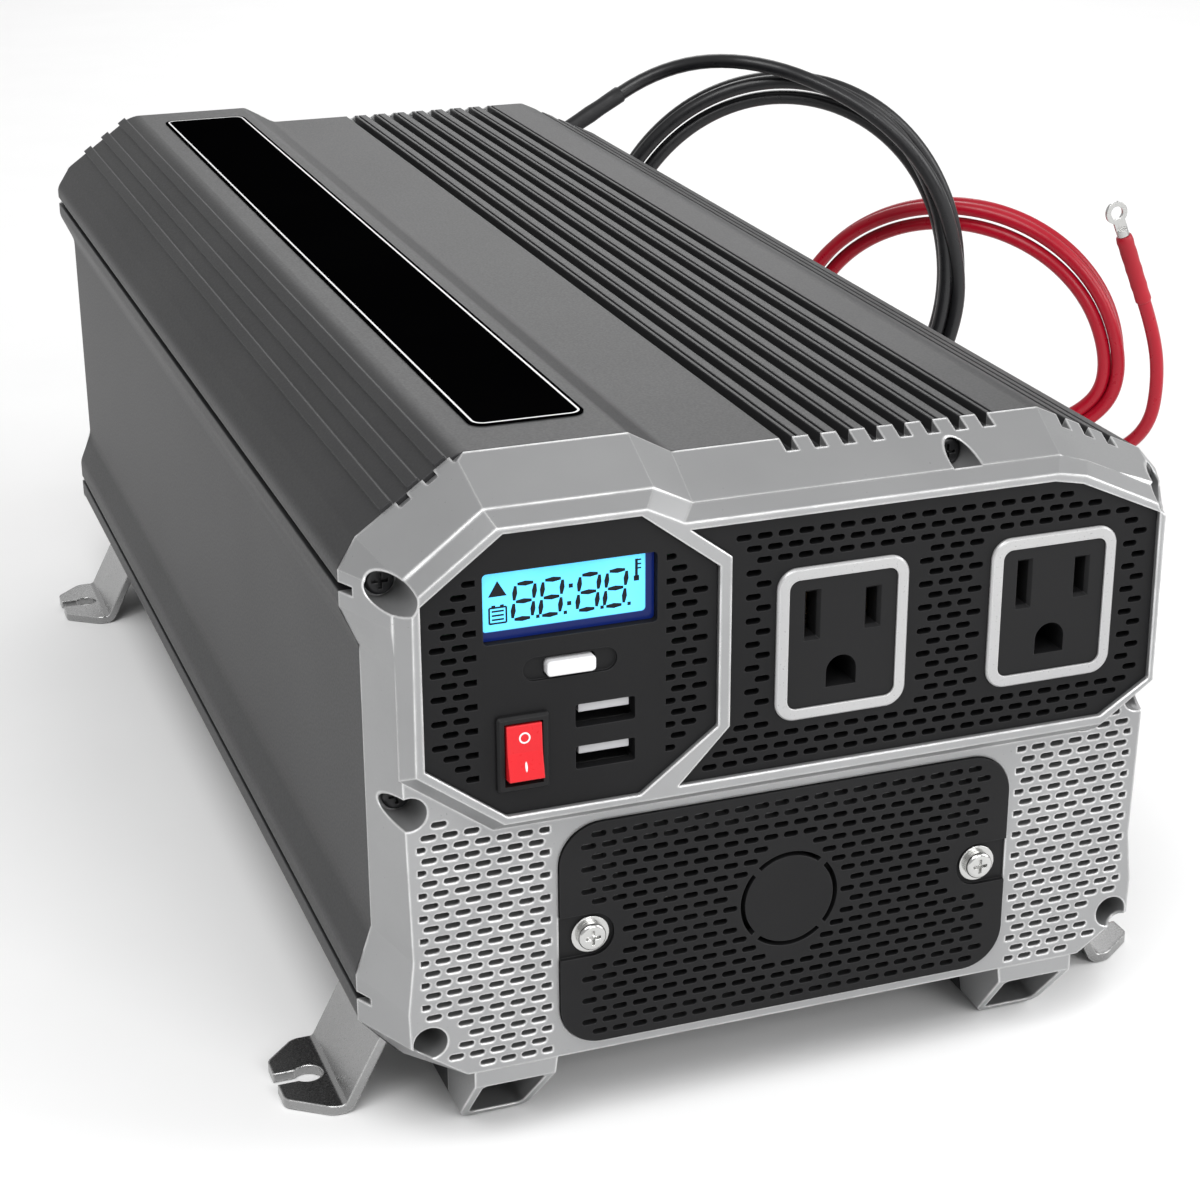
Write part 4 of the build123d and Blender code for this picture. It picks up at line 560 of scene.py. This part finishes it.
@dataclass
class Display:
    """Figures and small gauges on the lit display, measured from the lit field's corner."""

    lit_x: tuple[float, float] = (-61.7 * MM, -30.7 * MM)
    lit_z: tuple[float, float] = (109.8 * MM, 121.3 * MM)
    digits: tuple[float, ...] = (7.9 * MM, 13.1 * MM, 20.1 * MM, 25.3 * MM)
    digit_z: float = 5.1 * MM
    digit_size: tuple[float, float] = (3.7 * MM, 6.7 * MM)
    stroke: float = 0.95 * MM
    slant: float = 0.10
    ink: float = 0.10 * MM
    gauge_x: float = 3.0 * MM

    SEGMENTS = ((0.0, 1.0, True), (0.0, 0.0, True), (0.0, -1.0, True),
                (-1.0, 0.5, False), (1.0, 0.5, False), (-1.0, -0.5, False), (1.0, -0.5, False))

    def build(self) -> bpy.types.Object:
        """Model all printed figures as one piece.

        Returns:
            The piece, just in front of the window.
        """
        self.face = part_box("lcd_window")[0][1] - 0.5 * self.ink
        bar = extruded_outline(6, self.ink)
        block = extruded_outline(4, self.ink)
        parts = self._figures(bar, block) + self._warning_gauge() + self._battery_gauge(block)
        parts += self._level_gauge(block)
        for pattern in (bar, block):
            bpy.data.objects.remove(pattern)
        return joined(parts, "display_figures")

    def _at(self, right: float, up: float) -> Point:
        """Place on the window from a distance right and up of the lit field's corner."""
        return self.lit_x[0] + right, self.face, self.lit_z[0] + up

    def _figures(self, bar: bpy.types.Object, block: bpy.types.Object) -> list[bpy.types.Object]:
        """Four slanted figures of seven bars, their points and the colon between the pairs."""
        parts = []
        width, height = self.digit_size
        lean = math.atan(self.slant)
        for x in self.digits:
            for across, up, level in self.SEGMENTS:
                rise = up * height / 2
                place = self._at(x + across * width / 2 + rise * self.slant, self.digit_z + rise)
                size = (width * 0.92 if level else height * 0.47, self.stroke)
                turn = 0.0 if level else math.radians(90) + lean
                parts.append(copied(bar, place, size, (0.0, turn, 0.0)))
            dot = self._at(x + width * 0.70, self.digit_z - height / 2)
            parts.append(copied(block, dot, (0.9 * MM, 0.9 * MM), (0.0, math.radians(45), 0.0)))
        middle = (self.digits[1] + self.digits[2]) / 2
        for rise in (-height / 4, height / 4):
            dot = self._at(middle + rise * self.slant, self.digit_z + rise)
            parts.append(copied(block, dot, (1.1 * MM, 1.1 * MM), (0.0, math.radians(45), 0.0)))
        return parts

    def _warning_gauge(self) -> list[bpy.types.Object]:
        """Filled triangle at the upper left."""
        triangle = extruded_outline(3, self.ink)
        sign = copied(triangle, self._at(self.gauge_x, 7.6 * MM), (4.0 * MM, 3.9 * MM))
        bpy.data.objects.remove(triangle)
        return [sign]

    def _battery_gauge(self, block: bpy.types.Object) -> list[bpy.types.Object]:
        """Battery outline with level bars at the lower left."""
        x, z, width, height, line = self.gauge_x, 3.0 * MM, 3.2 * MM, 3.0 * MM, 0.32 * MM
        bars = [(x, z - height / 2, width, line), (x, z + height / 2, width, line),
                (x - width / 2, z, line, height), (x + width / 2, z, line, height),
                (x - width / 4, z + height / 2 + line, 0.7 * MM, line),
                (x + width / 4, z + height / 2 + line, 0.7 * MM, line)]
        bars += [(x, z + step * 0.8 * MM, width * 0.7, line) for step in (-1, 0, 1)]
        return [self._bar(block, *bar) for bar in bars]

    def _level_gauge(self, block: bpy.types.Object) -> list[bpy.types.Object]:
        """Stem with short marks at the upper right."""
        x, z = self.lit_x[1] - self.lit_x[0] - 1.7 * MM, 8.4 * MM
        parts = [self._bar(block, x, z, 0.5 * MM, 3.6 * MM)]
        parts += [self._bar(block, x + 0.55 * MM, z + step * 0.8 * MM, 0.7 * MM, 0.25 * MM) for step in (0, 1, 2)]
        parts.append(self._bar(block, x, z - 1.9 * MM, 1.0 * MM, 1.0 * MM))
        return parts

    def _bar(self, block: bpy.types.Object, right: float, up: float, wide: float,
             high: float) -> bpy.types.Object:
        """Upright rectangle: the four-cornered plate turned square, then stretched."""
        square = copied(block, (0.0, 0.0, 0.0), (1.0, 1.0), (0.0, math.radians(45), 0.0))
        side = math.sqrt(0.5)
        rectangle = copied(square, self._at(right, up), (wide / side, high / side))
        bpy.data.objects.remove(square)
        return rectangle


@dataclass
class ControlFace:
    """Black panels with the display, switch, key, ports and outlets."""

    shop: PaintShop
    display: Display = field(default_factory=Display)
    ink: float = 0.12 * MM
    pivot: Point = (-55.1 * MM, FACE_Y + 2.65 * MM, 86.2 * MM)
    tilt: float = 8.0
    crown: tuple[float, float, float] = (4.5 * MM, 4.9 * MM, 5.3 * MM)
    mark_height: float = 2.75 * MM

    def build(self) -> list[bpy.types.Object]:
        """Model the display's figures and the marks of the power switch.

        Returns:
            The new pieces.
        """
        figures = self.display.build()
        marks = self._rocker_marks()
        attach(figures, "case")
        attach(marks, "power_rocker")
        return [figures, marks]

    def _rocker_marks(self) -> bpy.types.Object:
        """Ring on the upper half of the rocker and bar on the lower half."""
        middle, end, half = self.crown
        slope = math.atan2(end - middle, half)
        reach = middle + (end - middle) * self.mark_height / half + 0.3 * self.ink
        ring = extruded_outline(32, self.ink, 0.15)
        bar = extruded_outline(8, self.ink)
        upper = copied(ring, (0.0, -reach, self.mark_height), (2.2 * MM, 2.2 * MM), (slope, 0.0, 0.0))
        lower = copied(bar, (0.0, -reach, -self.mark_height), (0.5 * MM, 2.1 * MM), (-slope, 0.0, 0.0))
        for pattern in (ring, bar):
            bpy.data.objects.remove(pattern)
        marks = joined([upper, lower], "rocker_marks")
        marks.rotation_euler = (math.radians(-self.tilt), 0.0, 0.0)
        marks.location = self.pivot
        return settle(marks, "rocker_marks")

    def dress(self, pieces: list[bpy.types.Object]) -> None:
        """Put the finishes on the front's parts."""
        self.shop.coat(BLACK_PANEL, "control_panel", "outlet_panel")
        self.shop.apply(self.shop.display(self.display.lit_x, self.display.lit_z), "lcd_window")
        self.shop.coat(SOCKET_BLACK, "receptacle_left", "receptacle_right")
        self.shop.coat(BRIGHT_SILVER, "outlet_frames")
        self.shop.coat(MATT_BLACK, "rocker_frame", "menu_tact_switch", "lcd_module", "terminal_block")
        self.shop.coat(RED_ROCKER, "rocker_switch")
        self.shop.coat(PALE_KEY, "menu_button")
        self.shop.coat(PORT_TONGUE, "usb_tongues")
        self.shop.coat(PORT_STEEL, "usb_shells")
        self.shop.coat(STEEL, "cover_screws", "cover_washers", "terminal_block_screws")
        self.shop.coat(BOARD_GREEN, "control_board")
        self.shop.coat(BRASS, "receptacle_contacts")
        self.shop.coat(BLACK_COVER, "terminal_cover")
        self.shop.coat(PRINT_BLACK, pieces[0])
        self.shop.coat(PRINT_WHITE, pieces[1])


@dataclass
class RearAndInside:
    """Rear panel, fans, posts and the electronics."""

    shop: PaintShop

    def dress(self) -> None:
        """Put the finishes on the rear and inner nodes."""
        self.shop.coat(BLACK_PANEL, "rear_panel")
        self.shop.coat(MATT_BLACK, "fan_frames", "fan_rotor_left", "fan_rotor_right", "power_transistors")
        self.shop.coat(CHROME, "fan_guards")
        self.shop.coat(BLACK_SCREW, "fan_screws")
        self.shop.coat(RED_GLOSS, "dc_insulator_positive")
        self.shop.coat(SOCKET_BLACK, "dc_insulator_negative")
        self.shop.coat(BRASS, "dc_studs", "board_standoffs")
        self.shop.coat(STEEL, "dc_nuts", "ground_stud")
        self.shop.coat(BOARD_GREEN, "main_board")
        self.shop.coat(FERRITE, "transformer_cores")
        self.shop.coat(TAPE, "transformer_windings")
        self.shop.coat(CAPACITOR, "bulk_capacitors")
        self.shop.coat(ALUMINIUM, "heatsinks")


@dataclass
class StandingCoil:
    """Ring of turns in an upright plane: two half ellipses of different height.

    Lengths are in millimetres and angles in degrees; fan opens the strands towards the top.
    """

    corner: tuple[float, float]
    heading: float
    centre: tuple[float, float]
    half_width: float
    heights: tuple[float, float]
    first_angle: float
    last_angle: float
    fan: float = 0.0
    slots: tuple[tuple[float, float], ...] = ((2.4, -2.3), (7.1, -2.3), (7.1, 2.3), (2.4, 2.3))

    def points(self, per_turn: int = 18) -> list[Point]:
        """Control points of the turns, from the first angle to the last.

        Args:
            per_turn: number of points in one turn.

        Returns:
            The points, in metres.
        """
        angle = math.radians(self.heading)
        along = Vector((math.cos(angle), -math.sin(angle), 0))
        normal = Vector((math.sin(angle), math.cos(angle), 0))
        origin = Vector((self.corner[0], self.corner[1], self.centre[1])) + along * self.centre[0]
        count = round(abs(self.first_angle - self.last_angle) / 360 * per_turn)
        result = []
        for index in range(count + 1):
            turned = math.radians(self.first_angle + (self.last_angle - self.first_angle) * index / count)
            inward, depth = self._slot(index / per_turn)
            spread = 1 + self.fan * max(0.0, math.sin(turned))
            height = self.heights[0] if math.sin(turned) < 0 else self.heights[1]
            across = (self.half_width - inward) * math.cos(turned)
            up = (height - inward * spread) * math.sin(turned)
            place = origin + along * across + normal * depth * spread + Vector((0, 0, up))
            result.append(tuple(place * MM))
        return result

    def _slot(self, turns: float) -> tuple[float, float]:
        """Distance from the outer edge and depth after a number of turns.

        The strand changes its slot once in each turn, and the later the turn, the earlier it does so,
        so that a slot is always free before the next strand comes into it.

        Args:
            turns: turns made so far.

        Returns:
            The distance inward and the depth.
        """
        total = abs(self.first_angle - self.last_angle) / 360
        whole = min(int(total), len(self.slots) - 1)
        share = total - int(total)
        step = min(int(turns), whole)
        if step == whole:
            return self.slots[step]
        width = (1 - share) / whole
        begin = share + (whole - 1 - step) * width
        ease = min(1.0, max(0.0, (turns - step - begin) / width))
        ease = ease * ease * (3 - 2 * ease)
        first, second = self.slots[step], self.slots[step + 1]
        return first[0] + (second[0] - first[0]) * ease, first[1] + (second[1] - first[1]) * ease


@dataclass
class BatteryLead:
    """One lead: cord with its coil, a long sleeve at the post and one at the free lug.

    The route, the sleeves' ends and the post's place are in millimetres; radii and the length in metres. The length
    is not used.
    """

    shop: PaintShop
    name: str
    post_x: float
    angle: float
    first_run: float
    route: list[Point]
    coil: StandingCoil
    tail: list[Point]
    free_sleeve: float
    length: float
    cord_finish: Finish
    sleeve_finish: Finish
    radius: float = 2.25 * MM
    sleeve_radius: float = 2.85 * MM
    sleeve_start: float = 14.0
    sleeve_end: float = 62.0
    post_z: float = 98.0
    post_y: float = 177.0

    def build(self) -> list[bpy.types.Object]:
        """Model the cord and both sleeves.

        Returns:
            The cord, the sleeve at the post and the sleeve at the free end.
        """
        direction = Vector((math.cos(math.radians(self.angle)), 0, math.sin(math.radians(self.angle))))
        post = Vector((self.post_x, self.post_y, self.post_z))
        start = post + direction * self.sleeve_end
        bend = start + direction * self.first_run
        path = [tuple(start * MM), tuple(bend * MM)] + [tuple(Vector(point) * MM) for point in self.route]
        path += self.coil.points() + [tuple(Vector(point) * MM) for point in self.tail]
        cord = self._cord(path)
        end, before = Vector(self.tail[-1]), Vector(self.tail[-2])
        way = (end - before).normalized()
        near = self._sleeve(f"{self.name}_post_sleeve", (post + direction * self.sleeve_start) * MM, direction,
                            (self.sleeve_end - self.sleeve_start) * MM)
        far = self._sleeve(f"{self.name}_end_sleeve", (end + way * self.free_sleeve) * MM, -way,
                           self.free_sleeve * MM)
        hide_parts(f"{self.name}_lead", f"{self.name}_coil", f"{self.name}_tail")
        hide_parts(f"{self.name}_sleeves")
        for piece in (cord, near, far):
            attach(piece, "case")
        return [cord, near, far]

    def _cord(self, path: list[Point]) -> bpy.types.Object:
        """One open smooth spline through the whole route."""
        curve = bpy.data.curves.new(f"{self.name}_cord", "CURVE")
        curve.dimensions = "3D"
        spline = curve.splines.new("NURBS")
        spline.points.add(len(path) - 1)
        for point, place in zip(spline.points, path):
            point.co = (*place, 1.0)
            point.radius = self.radius      # the points carry the thickness, and the curve's box with it
        spline.order_u = 3
        spline.use_endpoint_u = True
        spline.resolution_u = 8
        curve.bevel_depth = 1.0
        curve.bevel_resolution = 5
        curve.use_fill_caps = True
        cord = bpy.data.objects.new(f"{self.name}_cord", curve)
        bpy.context.scene.collection.objects.link(cord)
        return cord

    def _sleeve(self, name: str, start: Vector, along: Vector, length: float) -> bpy.types.Object:
        """Heat-shrink sleeve, drawn tight over the barrel and over the cable's end.

        Args:
            name: name of the piece.
            start: end of the sleeve at the lug.
            along: direction from the lug to the cable.
            length: length of the sleeve.

        Returns:
            The sleeve.
        """
        wall = self.sleeve_radius
        profile = [(0.0, wall * 0.80), (0.4 * MM, wall * 0.90)]
        for index in range(1, 12):
            share = index / 12
            ripple = 0.03 * math.sin(index * 2.3) * wall
            profile.append((length * share, wall * (0.955 - 0.05 * share) + ripple))
        profile += [(length - 0.5 * MM, wall * 0.93), (length, wall * 0.84)]
        return drawn_tube(name, start, along, profile)

    def dress(self, pieces: list[bpy.types.Object]) -> None:
        """Put the finishes on the lead."""
        self.shop.coat(self.cord_finish, pieces[0])
        self.shop.coat(self.sleeve_finish, *pieces[1:])
        self.shop.coat(TINNED, f"{self.name}_lugs")


def negative_lead(shop: PaintShop) -> BatteryLead:
    """Black lead: over the top of its own coil, then round and along the floor."""
    turns = StandingCoil(corner=(85.0, 180.0), heading=20.0, centre=(65.4, 67.3), half_width=62.0,
                         heights=(66.9, 69.9), first_angle=2.0, last_angle=-104.0 - THREE_TURNS, fan=0.3)
    return BatteryLead(
        shop, "negative", post_x=45.0, angle=29.5, first_run=17.0,
        route=[(136.0, 152.5, 141.3), (168.0, 141.5, 126.8), (190.0, 133.5, 103.5)], coil=turns,
        tail=[(103.8, 173.2, 3.0), (72.0, 184.0, 3.9), (45.0, 189.5, 3.4)],
        free_sleeve=16.0, length=1.48, cord_finish=BLACK_CORD, sleeve_finish=BLACK_SHRINK)


def positive_lead(shop: PaintShop) -> BatteryLead:
    """Red lead: down behind the case to its coil, with its free lug held up."""
    turns = StandingCoil(corner=(175.0, 194.0), heading=40.0, centre=(50.0, 33.5), half_width=60.0,
                         heights=(33.1, 56.3), first_angle=-112.0, last_angle=-70.0 + THREE_TURNS, fan=0.3)
    return BatteryLead(
        shop, "positive", post_x=-45.0, angle=-35.5, first_run=36.0,
        route=[(70.0, 198.0, 22.0), (108.0, 212.5, 11.5), (156.0, 210.0, 7.0)], coil=turns,
        tail=[(247.0, 133.5, 5.0), (257.5, 123.0, 6.5), (264.0, 115.5, 17.5), (264.8, 114.0, 33.0),
              (262.4, 114.0, 48.6), (257.0, 114.0, 61.5)],
        free_sleeve=24.4, length=1.26, cord_finish=RED_CORD, sleeve_finish=RED_SHRINK)


@dataclass
class Studio:
    """Floor, soft lights, pale surroundings and the camera."""

    shop: PaintShop
    eye: Point = (-0.1845, -0.5857, 0.2873)
    yaw: float = 19.88
    pitch: float = 22.22
    roll: float = -0.239
    lens: float = 76.88

    def build(self) -> None:
        """Set up everything that isn't part of the object."""
        self._camera()
        self._floor()
        self._world()
        self._light("key", (-0.45, -0.75, 1.25), 0.8, 12.0)
        self._light("right", (1.3, -0.6, 0.7), 0.9, 11.0)
        self._light("rear", (0.5, 1.3, 0.9), 0.8, 5.0)
        self._light("front", (0.35, -1.5, 0.75), 0.6, 8.0)
        settings = bpy.context.scene.view_settings
        settings.view_transform = "Standard"
        settings.look = "None"

    def _camera(self) -> None:
        """Camera with its own right, up and back directions."""
        yaw, pitch, roll = (math.radians(v) for v in (self.yaw, self.pitch, self.roll))
        ahead = Vector((math.sin(yaw) * math.cos(pitch), math.cos(yaw) * math.cos(pitch), -math.sin(pitch)))
        right = ahead.cross(Vector((0, 0, 1))).normalized()
        up = right.cross(ahead)
        turned_right = right * math.cos(roll) + up * math.sin(roll)
        turned_up = up * math.cos(roll) - right * math.sin(roll)
        data = bpy.data.cameras.new("camera")
        data.lens = self.lens
        data.sensor_width = 36.0
        data.clip_start = 0.01
        camera = bpy.data.objects.new("camera", data)
        bpy.context.scene.collection.objects.link(camera)
        turn = Matrix((turned_right, turned_up, -ahead)).transposed().to_4x4()
        camera.matrix_world = Matrix.Translation(self.eye) @ turn
        bpy.context.scene.camera = camera

    def _floor(self) -> None:
        """Pale floor just under the rails."""
        deselect()
        bpy.ops.mesh.primitive_plane_add(size=12.0, location=(0, 0, -0.0002))
        floor = bpy.context.object
        floor.name = "floor"
        self.shop.coat(PALE_FLOOR, floor)

    def _world(self) -> None:
        """Even pale surroundings."""
        world = bpy.data.worlds.new("studio")
        world.use_nodes = True
        background = world.node_tree.nodes["Background"]
        background.inputs["Color"].default_value = (1.0, 1.0, 1.0, 1.0)
        background.inputs["Strength"].default_value = 0.62
        bpy.context.scene.world = world

    def _light(self, name: str, place: Point, size: float, power: float) -> None:
        """Square soft light aimed at the middle of the case."""
        data = bpy.data.lights.new(name, "AREA")
        data.energy = power
        data.size = size
        light = bpy.data.objects.new(name, data)
        bpy.context.scene.collection.objects.link(light)
        aim = Vector((0.0, 0.0, 0.06)) - Vector(place)
        light.matrix_world = Matrix.Translation(place) @ aim.to_track_quat("-Z", "Y").to_matrix().to_4x4()


def corners(box: object) -> list[list[float]]:
    """Box as plain lists of numbers."""
    return [[float(value) for value in corner] for corner in box]


def main() -> None:
    """Load the frame, build and dress each sub-assembly and set up the studio."""
    logging.basicConfig(level=logging.INFO)
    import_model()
    shop = PaintShop()
    studio = Studio(shop)
    studio.build()
    for lead in (negative_lead(shop), positive_lead(shop)):
        pieces = lead.build()
        lead.dress(pieces)
        log.info("%s lead: %s", lead.name, [piece.name for piece in pieces])
    for assembly in (Casework(shop), ControlFace(shop)):
        pieces = assembly.build()
        assembly.dress(pieces)
        log.info("%s: %s", type(assembly).__name__, [piece.name for piece in pieces])
    RearAndInside(shop).dress()
    bpy.context.view_layer.update()


if __name__ == "__main__":
    main()
